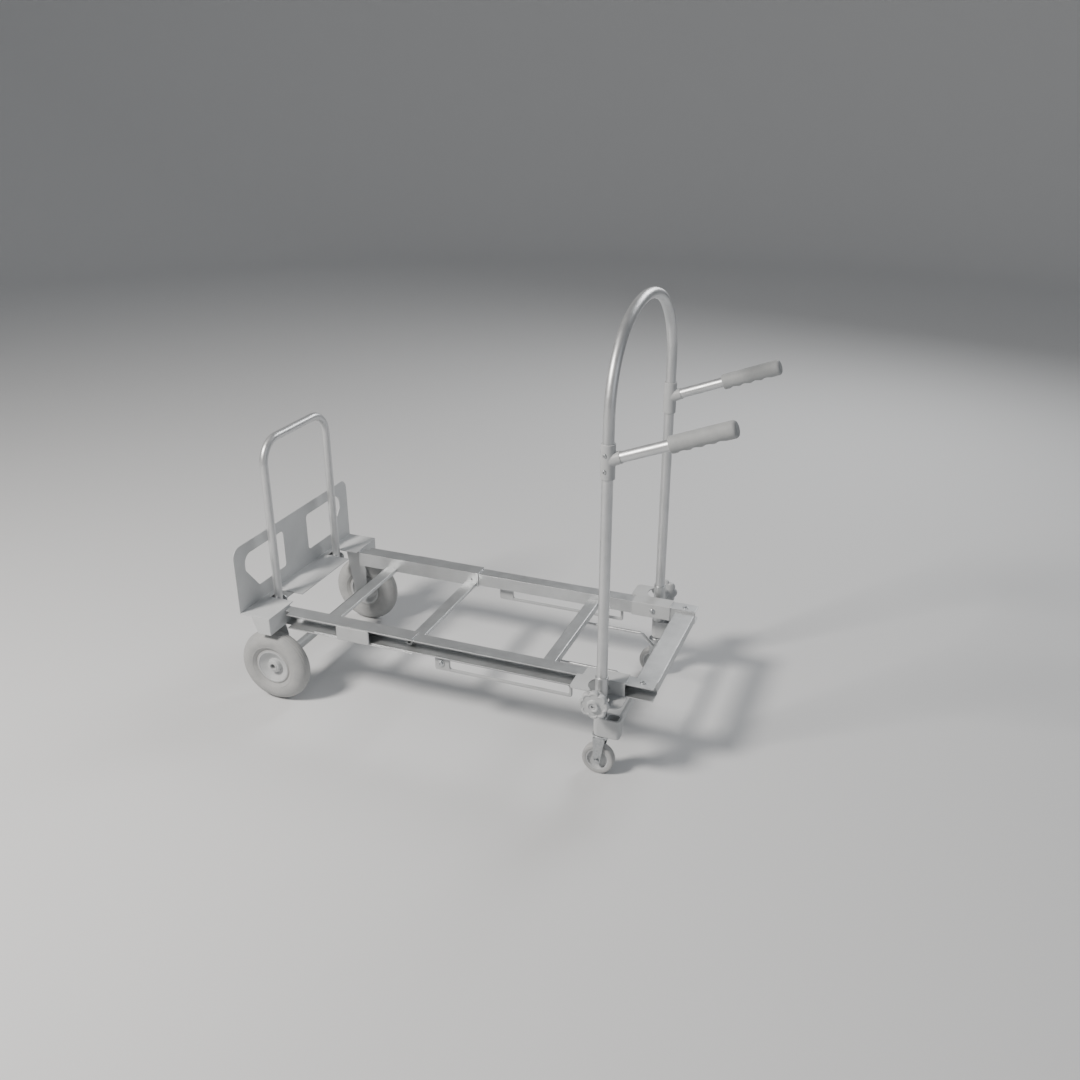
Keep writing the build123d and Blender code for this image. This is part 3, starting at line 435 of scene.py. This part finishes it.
def drawn(name, points):
    """A line drawn by extruding one vertex from point to point; left in edit mode."""
    deselect_all()
    bpy.ops.mesh.primitive_plane_add(size=MM, location=(0, 0, 0))
    piece = bpy.context.object
    piece.name = name
    bpy.ops.object.mode_set(mode="EDIT")
    bpy.ops.mesh.select_all(action="SELECT")
    bpy.ops.mesh.merge(type="CENTER")
    bpy.ops.transform.translate(value=points[0])
    for start, end in zip(points, points[1:]):
        step = Vector(end) - Vector(start)
        bpy.ops.mesh.extrude_region_move(TRANSFORM_OT_translate={"value": step})
    return piece


def turned(name, centre, profile, axis="Y", closed=True, steps=96):
    """A turned piece: (distance along the axis, radius) pairs in millimetres, spun about a centre."""
    along = Vector((0, 1, 0)) if axis == "Y" else Vector((0, 0, 1))
    outward = Vector((0, 0, 1)) if axis == "Y" else Vector((1, 0, 0))
    points = [Vector(centre) + along * (a * MM) + outward * (r * MM) for a, r in profile]
    if closed:
        points.append(points[0])
    piece = drawn(name, points)
    bpy.ops.mesh.select_all(action="SELECT")
    bpy.ops.mesh.remove_doubles(threshold=WELD_GAP)
    bpy.ops.mesh.spin(steps=steps, angle=2 * pi, center=centre, axis=along)
    leave_edit()
    return settle(piece)


def joined(name, pieces):
    """Several meshes made one object."""
    deselect_all()
    for piece in pieces:
        piece.select_set(True)
    bpy.context.view_layer.objects.active = pieces[0]
    bpy.ops.object.join()
    whole = bpy.context.object
    whole.name = name
    return whole


def bent_tube(name, start, radius, path, sides=32):
    """A round tube: a ring at the start, extruded along runs and spun round bends, then capped."""
    deselect_all()
    bpy.ops.mesh.primitive_circle_add(vertices=sides, radius=radius, location=start, fill_type="NOTHING")
    piece = bpy.context.object
    piece.name = name
    bpy.ops.object.transform_apply(location=True, rotation=True, scale=True)
    bpy.ops.object.mode_set(mode="EDIT")
    bpy.ops.mesh.select_all(action="SELECT")
    bpy.ops.mesh.edge_face_add()
    for kind, *facts in path:
        if kind == "run":
            bpy.ops.mesh.extrude_region_move(TRANSFORM_OT_translate={"value": facts[0]})
        else:
            centre, axis, angle, steps = facts
            bpy.ops.mesh.spin(steps=steps, angle=angle, center=centre, axis=axis)
    leave_edit()
    return settle(piece, angle=60)


def centre_of(node):
    low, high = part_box(node)
    return (Vector(low) + Vector(high)) / 2


# ---------------------------------------------------------------- plates, rails and brackets
# how wide the edges of each CAD node are rounded, in mm
edge_width = {
    "nose_plate": 0.8, "front_beam": 0.8, "outer_crossbars": 0.5, "loop_ears": 0.5, "crossbeam": 0.6,
    "inner_crossbar": 0.6, "caster_strap": 0.5, "axle": 0.6, "rail_covers": 0.5,
    "outer_rail": 0.5, "wheel_guard": 0.8, "axle_plate": 0.7, "inner_rail": 0.5, "carriage": 0.6,
    "skid": 0.8, "socket_sleeve": 0.5, "caster_cup": 1.0, "caster_fork": 0.6,
    "lock_bosses": 0.5, "pivot_bosses": 0.4, "axle_collars": 0.5, "rail_eyelets": 0.3,
    "loop_pins": 0.5, "grip_arm": 0.5, "axle_caps": 0.5,
}
for node in nodes:
    plain = node.removesuffix("_left").removesuffix("_right")
    if plain in edge_width:
        dress_as(softened(node, edge_width[plain] * MM), node)


def dress_pair(left_piece, name, plain):
    """Dresses a left piece and its mirror image for a pair of CAD nodes."""
    right_piece = mirrored(left_piece, f"{name}_right")
    left_piece.name = f"{name}_left"
    dress_as(left_piece, f"{plain}_left")
    dress_as(right_piece, f"{plain}_right")


# ---------------------------------------------------------------- big wheels
tyre_low, tyre_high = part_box("tyre_left")
wheel_centre = centre_of("tyre_left")
tyre_half = (tyre_high[1] - tyre_low[1]) / 2 / MM
tyre_radius = (tyre_high[2] - tyre_low[2]) / 2 / MM
belly_radius = 72.0
bead_radius = 46.0
bead_half = 19.0
groove_places = (-11.0, -4.0, 4.0, 11.0)
groove_half = 0.9
groove_depth = 1.1
# a fine raised line goes round each side wall
line_radius = 60
line_half = 1.2
line_height = 0.7
# the oval is drawn in degrees from one bead, over the tread, to the other
oval_start = -62
oval_sweep = 304
oval_points = 150


def tyre_section():
    """The tyre's closed section: an oval carcass with four shallow tread grooves and a bead on each side."""
    section = []
    for i in range(oval_points + 1):
        turn = radians(oval_start) + i * radians(oval_sweep) / oval_points
        across = tyre_half * cos(turn)
        out = belly_radius + (tyre_radius - belly_radius) * sin(turn)
        cut = 0.0
        if out > belly_radius:
            for place in groove_places:
                near = abs(across - place)
                if near < groove_half:
                    cut = groove_depth * sqrt(1 - (near / groove_half) ** 2)
        if abs(out - line_radius) < line_half:
            across += line_height if across > 0 else -line_height
        section.append((across, out - cut))
    section = [(a, r) for a, r in section if r > bead_radius + 4]
    return section + [
        (-bead_half, bead_radius + 1), (0.6 - bead_half, bead_radius),
        (bead_half - 0.6, bead_radius), (bead_half, bead_radius + 1),
    ]


tyre = turned("tyre_tread_left", wheel_centre, tyre_section(), steps=144)
dress_pair(tyre, "tyre_tread", "tyre")

rim_low, rim_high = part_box("wheel_rim_left")
hub_in = (rim_low[1] - wheel_centre.y) / MM
hub_out = (rim_high[1] - wheel_centre.y) / MM
bore_radius = 8.05
lip_radius = 42.4
# bore and stepped hub, the outer face of the dish, the seat of the tyre, and the inner face
rim_section = [
    (hub_in, bore_radius), (hub_out, bore_radius), (hub_out, 12.0), (hub_out - 1.6, 12.6),
    (hub_out - 1.6, 16.0), (hub_out - 4.0, 18.0), (7.0, 19.0), (5.2, 20.6), (5.4, 22.6), (8.6, 30.0),
    (12.6, 36.6), (16.4, 40.4), (16.8, 41.6), (bead_half, lip_radius), (bead_half, bead_radius),
    (-bead_half, bead_radius), (-bead_half, lip_radius), (-11.0, 37.0), (-5.0, 33.0), (-4.4, 30.0),
    (-4.4, 22.0), (-5.0, 19.6), (hub_in + 1.0, 17.6), (hub_in, 16.6),
]
rim = rounded(turned("rim_dish_left", wheel_centre, rim_section), 0.6 * MM, segments=2, angle=30)
settle(rim)
dress_pair(rim, "rim_dish", "wheel_rim")

# ---------------------------------------------------------------- tubes
handle_low, handle_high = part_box("handle_tube")
handle_x = (handle_low[0] + handle_high[0]) / 2
tube_radius = (handle_high[0] - handle_low[0]) / 2
leg_y = handle_high[1] - tube_radius
leg_bottom = handle_low[2]
bend_steps = 20
leg_top = 0.890
corner_radius = 0.203
crown_radius = 0.347
corner_y = leg_y - corner_radius
crown_z = leg_top - sqrt((crown_radius - corner_radius) ** 2 - corner_y ** 2)
corner_turn = pi / 2 - Vector((corner_y, leg_top - crown_z)).angle(Vector((0, 1)))
handle = bent_tube(
    "handle_bow", (handle_x, -leg_y, leg_bottom), tube_radius,
    [
        ("run", (0, 0, leg_top - leg_bottom)),
        ("bend", (handle_x, -corner_y, leg_top), X_AXIS, corner_turn, bend_steps),
        ("bend", (handle_x, 0, crown_z), X_AXIS, 2 * (pi / 2 - corner_turn), bend_steps),
        ("bend", (handle_x, corner_y, leg_top), X_AXIS, corner_turn, bend_steps),
        ("run", (0, 0, leg_bottom - leg_top)),
    ],
)
dress_as(handle, "handle_tube")

loop_low, loop_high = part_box("backstop_loop")
loop_radius = (loop_high[0] - loop_low[0]) / 2
loop_x = (loop_low[0] + loop_high[0]) / 2
loop_y = loop_high[1] - loop_radius
loop_bend = 0.062
loop_top = loop_high[2] - loop_radius
loop = bent_tube(
    "backstop_bow", (loop_x, -loop_y, loop_low[2]), loop_radius,
    [
        ("run", (0, 0, loop_top - loop_bend - loop_low[2])),
        ("bend", (loop_x, -loop_y + loop_bend, loop_top - loop_bend), X_AXIS, pi / 2, bend_steps),
        ("run", (0, 2 * (loop_y - loop_bend), 0)),
        ("bend", (loop_x, loop_y - loop_bend, loop_top - loop_bend), X_AXIS, pi / 2, bend_steps),
        ("run", (0, 0, loop_low[2] - loop_top + loop_bend)),
    ],
)
dress_as(loop, "backstop_loop")

# ---------------------------------------------------------------- knobs
knob_low, knob_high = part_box("knob_left")
knob_centre = centre_of("knob_left")
knob_radius = (knob_high[2] - knob_low[2]) / 2
lobe_count = 8
lobe_depth = 0.17
lobe_points = 20
lobe_fullness = 0.7
# distance inboard of the knob's outer face, in mm, and the size of the lobed outline there
knob_layers = (
    (21.0, 0.88), (20.0, 0.95), (18.0, 0.99), (16.0, 1.0), (11.0, 1.0), (8.6, 0.985),
    (7.0, 0.95), (6.2, 0.90), (6.0, 0.84), (6.6, 0.80), (7.6, 0.77), (7.6, 0.40),
)


def lobed_disc(name, layers):
    """A scalloped disc: its outline is drawn and filled, then extruded and scaled layer by layer."""
    face = knob_high[1]
    hub = Vector((knob_centre.x, face - layers[0][0] * MM, knob_centre.z))
    outline = []
    for i in range(lobe_count * lobe_points):
        turn = 2 * pi * i / (lobe_count * lobe_points)
        reach = 1 - lobe_depth * (1 - abs(cos(turn * lobe_count / 2)) ** lobe_fullness)
        outline.append(hub + Vector((sin(turn), 0, cos(turn))) * knob_radius * reach * layers[0][1])
    disc = drawn(name, outline + outline[:1])
    bpy.ops.mesh.select_all(action="SELECT")
    bpy.ops.mesh.remove_doubles(threshold=WELD_GAP)
    bpy.ops.mesh.edge_face_add()
    for (depth, size), (next_depth, next_size) in zip(layers, layers[1:]):
        rise = (depth - next_depth) * MM
        bpy.ops.mesh.extrude_region_move(TRANSFORM_OT_translate={"value": (0, rise, 0)})
        ratio = next_size / size
        bpy.ops.transform.resize(
            value=(ratio, 1, ratio), center_override=(hub.x, face, hub.z),
        )
    leave_edit()
    return settle(disc, angle=50)


def knob_turning(name, profile):
    """A turned part of the knob; profile gives mm inboard of its outer face, and radius."""
    centre = (knob_centre.x, knob_high[1], knob_centre.z)
    return turned(name, centre, [(-depth, r) for depth, r in profile], steps=64)


knob_disc = lobed_disc("knob_disc", knob_layers)
knob_boss = knob_turning("knob_boss", [
    (8.0, 4.2), (2.4, 4.2), (2.0, 4.6), (2.0, 8.2), (1.4, 8.8), (0.4, 9.2), (0.0, 9.8), (0.0, 12.0),
    (0.5, 13.0), (1.4, 13.4), (5.2, 13.8), (6.6, 14.6), (7.8, 16.6), (8.0, 17.0),
])
neck_end = (knob_high[1] - knob_low[1]) / MM
knob_neck = knob_turning("knob_neck", [
    (neck_end, 4.1), (neck_end, 12.6), (neck_end - 0.8, 13.4), (28.0, 13.8), (24.0, 14.6), (21.6, 17.0),
    (20.4, 20.0), (20.4, 4.1),
])
dress_pair(joined("knob_grip_left", [knob_disc, knob_boss, knob_neck]), "knob_grip", "knob")

# ---------------------------------------------------------------- soft moulded pieces


def remoulded(node, cell, passes):
    """A copy of a CAD node with its corners melted together, by cells in mm and smoothing passes."""
    piece = bpy.data.objects.new(f"{node}_moulded", nodes[node].data.copy())
    bpy.context.collection.objects.link(piece)
    edit(piece)
    bpy.ops.mesh.remove_doubles(threshold=CAD_WELD_GAP)
    leave_edit()
    skin = piece.modifiers.new("skin", "REMESH")
    skin.mode = "VOXEL"
    skin.voxel_size = cell * MM
    bpy.ops.object.modifier_apply(modifier=skin.name)
    ease = piece.modifiers.new("ease", "SMOOTH")
    ease.factor = 0.5
    ease.iterations = passes
    bpy.ops.object.modifier_apply(modifier=ease.name)
    bpy.ops.object.shade_smooth()
    return piece


dress_pair(remoulded("grip_left", cell=1.1, passes=10), "grip_skin", "grip")
dress_pair(remoulded("tee_sleeve_left", cell=0.8, passes=6), "tee_moulding", "tee_sleeve")

# ---------------------------------------------------------------- casters
tread_low, tread_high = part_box("caster_tread_left")
caster_centre = centre_of("caster_tread_left")
caster_radius = (tread_high[2] - tread_low[2]) / 2 / MM
tread_half = (tread_high[1] - tread_low[1]) / 2 / MM
core_radius = 29.0
crown_steps = 24
crown_height = 6.0
crown_fullness = 0.6  # powers under 1 square off the crown's arc, up and across
crown_squareness = 0.55
tread_section = [(-tread_half + 0.6, core_radius), (-tread_half, core_radius + 1.0)]
for i in range(crown_steps + 1):
    turn = pi - i * pi / crown_steps
    bulge = abs(cos(turn)) ** crown_squareness * (1 if cos(turn) > 0 else -1)
    rise = sin(turn) ** crown_fullness if sin(turn) > 0 else 0.0
    tread_section.append((tread_half * bulge, caster_radius - crown_height + crown_height * rise))
tread_section += [(tread_half, core_radius + 1.0), (tread_half - 0.6, core_radius)]
caster_tyre = turned("caster_tyre_left", caster_centre, tread_section, steps=72)
dress_pair(caster_tyre, "caster_tyre", "caster_tread")

core_low, core_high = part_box("caster_core_left")
hub_half = (core_high[1] - core_low[1]) / 2 / MM
core_half = [
    (hub_half, 4.05), (hub_half, 6.6), (hub_half - 0.6, 7.4), (hub_half - 1.8, 8.0), (6.0, 9.2), (4.6, 11.0),
    (4.0, 13.0), (4.2, 20.0), (5.4, 23.4), (8.0, 25.0), (10.4, 25.6), (11.0, 26.4), (11.0, core_radius),
]
core_section = core_half + [(-a, r) for a, r in reversed(core_half)]
caster_disc = turned("caster_disc_left", caster_centre, core_section, steps=72)
dress_pair(caster_disc, "caster_disc", "caster_core")

mount_low, mount_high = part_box("caster_mount_left")
mount_centre = centre_of("caster_mount_left")
cup_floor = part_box("caster_cup_left")[0][2]
mount_base = (mount_centre.x, mount_centre.y, cup_floor)
race_radius = (mount_high[0] - mount_low[0]) / 2 / MM
pin_low = (mount_low[2] - cup_floor) / MM
pin_high = (mount_high[2] - cup_floor) / MM
raceway = turned("swivel_race_left", mount_base, [
    (0.0, 5.0), (0.0, 13.0), (-0.5, 14.2), (-1.8, 15.0), (-2.2, 17.4), (-2.6, race_radius - 1.2),
    (-3.4, race_radius - 0.2), (-4.4, race_radius), (-6.0, race_radius), (-6.8, race_radius - 0.6),
    (-7.0, race_radius - 1.6), (-7.0, 5.0),
], axis="Z", steps=72)
kingpin = turned("kingpin_left", mount_base, [
    (pin_high, 0.0), (pin_high, 4.2), (pin_high - 0.8, 5.0), (pin_low + 4.9, 5.0), (pin_low + 4.6, 8.0),
    (pin_low + 0.8, 8.0), (pin_low, 7.2), (pin_low, 0.0),
], axis="Z", closed=False, steps=48)
dress_pair(joined("swivel_head_left", [raceway, kingpin]), "swivel_head", "caster_mount")


# ---------------------------------------------------------------- bolts and screws
def hexagon(centre, flat, thickness):
    """A chamfered hexagon nut or bolt head lying across Y; centre is the middle of the hexagon."""
    deselect_all()
    bpy.ops.mesh.primitive_cylinder_add(
        vertices=6, radius=flat / sqrt(3), depth=thickness, location=centre, rotation=(pi / 2, 0, 0),
    )
    nut = bpy.context.object
    bpy.ops.object.transform_apply(location=True, rotation=True, scale=True)
    return rounded(nut, 0.35 * MM, 2)


dome_share = 0.45  # how much of a button head's height is rounded over
socket_rise = 0.95  # how high the middle of the socket's cutter stands, as a share of the head


def socket_screw(name, centre, head_radius, head_height, socket_radius):
    """A button head with a hexagon socket, facing +Y; centre is the middle of its seat."""
    deselect_all()
    x, y, z = centre
    bpy.ops.mesh.primitive_cylinder_add(
        vertices=48, radius=head_radius, depth=head_height, location=(x, y + head_height / 2, z),
        rotation=(pi / 2, 0, 0),
    )
    screw = bpy.context.object
    screw.name = name
    bpy.ops.object.transform_apply(location=True, rotation=True, scale=True)
    rounded(screw, head_height * dome_share, segments=4)
    bpy.ops.mesh.primitive_cylinder_add(
        vertices=6, radius=socket_radius, depth=head_height, location=(x, y + head_height * socket_rise, z),
        rotation=(pi / 2, 0, 0),
    )
    cutter = bpy.context.object
    bpy.ops.object.transform_apply(location=True, rotation=True, scale=True)
    pick(screw)
    cut = screw.modifiers.new("socket", "BOOLEAN")
    cut.object = cutter
    cut.solver = "EXACT"
    bpy.ops.object.modifier_apply(modifier=cut.name)
    bpy.data.objects.remove(cutter)
    return settle(screw)


bolt_centre = centre_of("pivot_bolts")
bolt_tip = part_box("pivot_bolts")[1][1] / MM
bolt_seat = 180.0
bolt = turned("pivot_bolt_shank", (bolt_centre.x, 0, bolt_centre.z), [
    (bolt_seat - 5.0, 0.0), (bolt_seat - 5.0, 2.6), (bolt_seat - 4.4, 4.8), (bolt_seat - 3.0, 6.6),
    (bolt_seat - 1.2, 7.5), (bolt_seat, 7.5), (bolt_seat, 4.0), (bolt_tip - 0.8, 4.0), (bolt_tip, 3.2),
    (bolt_tip, 0.0),
], closed=False, steps=48)
bolt_twin = mirrored(bolt, "pivot_bolt_twin")
dress_as(joined("pivot_bolt_pair", [bolt, bolt_twin]), "pivot_bolts")

skid_screw_low, skid_screw_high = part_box("skid_bolts")
skid_screw_x = (skid_screw_low[0] + skid_screw_high[0]) / 2
skid_screw_z = (skid_screw_low[2] + skid_screw_high[2]) / 2
skid_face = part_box("skid_left")[1][1]
washer_thick = 2.0
washer = turned("skid_washer", (skid_screw_x, skid_face, skid_screw_z), [
    (0.0, 3.0), (0.0, 9.8), (0.3, 10.0), (1.6, 10.0), (washer_thick, 9.6), (washer_thick, 3.0),
], steps=64)
skid_head = socket_screw(
    "skid_screw_head", (skid_screw_x, skid_face + washer_thick * MM, skid_screw_z),
    head_radius=6.5 * MM, head_height=3.0 * MM, socket_radius=2.9 * MM,
)
skid_screw = joined("skid_screw", [washer, skid_head])
dress_as(joined("skid_screw_pair", [skid_screw, mirrored(skid_screw, "skid_screw_twin")]), "skid_bolts")

tee_screw_low, tee_screw_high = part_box("tee_screws")
tee_screw_x = (tee_screw_low[0] + tee_screw_high[0]) / 2
tee_face = tee_screw_high[1]
tee_head_radius = 4.5 * MM
tee_head_height = 3.4 * MM
tee_heads = [
    socket_screw(
        "tee_screw_head", (tee_screw_x, tee_face - tee_head_height, z),
        tee_head_radius, tee_head_height, socket_radius=2.5 * MM,
    )
    for z in (tee_screw_high[2] - tee_head_radius, tee_screw_low[2] + tee_head_radius)
]
tee_set = joined("tee_screw_set", tee_heads)
dress_as(joined("tee_screw_pairs", [tee_set, mirrored(tee_set, "tee_screw_twin")]), "tee_screws")

axle_bolt_low, axle_bolt_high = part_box("caster_axle_left")
axle_bolt_centre = centre_of("caster_axle_left")
bolt_x, bolt_z = axle_bolt_centre.x, axle_bolt_centre.z
head_half = 2.0 * MM
nut_half = 1.25 * MM
hexagon_flat = 11.2 * MM
shank_in = axle_bolt_low[1] / MM
shank_out = axle_bolt_high[1] / MM
shank = turned("caster_shank", (bolt_x, 0, bolt_z), [
    (shank_in + 0.1, 0.0), (shank_in + 0.1, 3.6), (shank_in + 0.5, 4.0),
    (shank_out - 1.0, 4.0), (shank_out - 1.0, 0.0),
], closed=False, steps=32)
head = hexagon((bolt_x, axle_bolt_high[1] - head_half, bolt_z), hexagon_flat, 2 * head_half)
nut = hexagon((bolt_x, axle_bolt_low[1] + nut_half, bolt_z), hexagon_flat, 2 * nut_half)
caster_bolt = joined("caster_bolt_left", [shank, head, nut])
settle(caster_bolt)
dress_pair(caster_bolt, "caster_bolt", "caster_axle")

# ---------------------------------------------------------------- catch rods
rod_low, rod_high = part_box("catch_rods")
rod_radius = 4.0 * MM
rod_bend = 11.0 * MM
rod_run = 160.0 * MM
rod_hang = 11.5 * MM
rod_end = Vector((32.0, 0, -33.0)) * MM
rod_x, rod_y, rod_top = rod_low[0] + rod_radius, rod_high[1] - rod_radius, rod_high[2]
rod_level = rod_top - rod_hang
rod_slope = -atan2(rod_end.z, rod_end.x)
rod_ease = rod_bend * tan(rod_slope / 2)
rod = bent_tube("catch_rod", (rod_x, rod_y, rod_top), rod_radius, [
    ("run", (0, 0, rod_level + rod_bend - rod_top)),
    ("bend", (rod_x + rod_bend, rod_y, rod_level + rod_bend), Y_AXIS, pi / 2, 10),
    ("run", (rod_run - rod_bend - rod_ease, 0, 0)),
    ("bend", (rod_x + rod_run - rod_ease, rod_y, rod_level - rod_bend), Y_AXIS, -rod_slope, 8),
    ("run", rod_end.normalized() * (rod_end.length - rod_ease)),
], sides=24)
rounded(rod, 0.8 * MM, segments=2, angle=70)
settle(rod, angle=60)
dress_as(joined("catch_rod_pair", [rod, mirrored(rod, "catch_rod_twin")]), "catch_rods")

# ---------------------------------------------------------------- stage, lights and camera
# a round floor that sweeps up into a wall, in mm
floor_r = 7000.0
cove_r = 3000.0
cove_steps = 16
cove_turns = [i * pi / (2 * cove_steps) for i in range(cove_steps + 1)]
cove = [(cove_r * (1 - cos(turn)), floor_r + cove_r * sin(turn)) for turn in cove_turns]
floor_section = [(0, 0)] + cove + [(2 * cove_r, floor_r + cove_r)]
floor = turned("studio_floor", (0, 0, 0), floor_section, axis="Z", closed=False)
floor_paint, _, floor_shader, _ = new_material("pale_studio_floor")
floor_shader.inputs["Base Color"].default_value = hex_colour("#dadbdc")
floor_shader.inputs["Roughness"].default_value = 0.7
floor.data.materials.append(floor_paint)


def soft_light(name, place, aim, size, power, colour):
    """A round softbox at a place, turned to its aim; size in metres, power in watts."""
    deselect_all()
    bpy.ops.object.light_add(type="AREA", location=place)
    light = bpy.context.object
    light.name = name
    light.data.shape = "DISK"
    light.data.size = size
    light.data.energy = power
    light.data.color = hex_colour(colour)[:3]
    light.rotation_euler = (Vector(aim) - Vector(place)).to_track_quat("-Z", "Y").to_euler()


soft_light("key_softbox", (-1.9, -2.4, 3.2), aim=(0, 0, 0.4), size=0.9, power=210, colour="#fffaf4")
soft_light("fill_softbox", (3.4, -1.4, 2.0), aim=(0, 0, 0.4), size=2.6, power=14, colour="#f4f8ff")
soft_light("rim_softbox", (0.9, 3.2, 2.6), aim=(0, 0, 0.5), size=1.6, power=60, colour="#ffffff")
world = bpy.data.worlds.new("studio_air")
bpy.context.scene.world = world
world.use_nodes = True
world.node_tree.nodes["Background"].inputs["Color"].default_value = hex_colour("#c9cdd2")
world.node_tree.nodes["Background"].inputs["Strength"].default_value = 0.28

camera_dip = 24.31  # degrees below level
camera_turn = 21.37  # degrees about the vertical
camera_data = bpy.data.cameras.new("studio_camera")
camera_data.lens = 35.0
camera_data.sensor_width = 36.0
camera = bpy.data.objects.new("studio_camera", camera_data)
bpy.context.collection.objects.link(camera)
camera.location = (0.9984, -2.2461, 1.56)
camera.rotation_euler = (radians(90 - camera_dip), 0, radians(camera_turn))
bpy.context.scene.camera = camera

deselect_all()
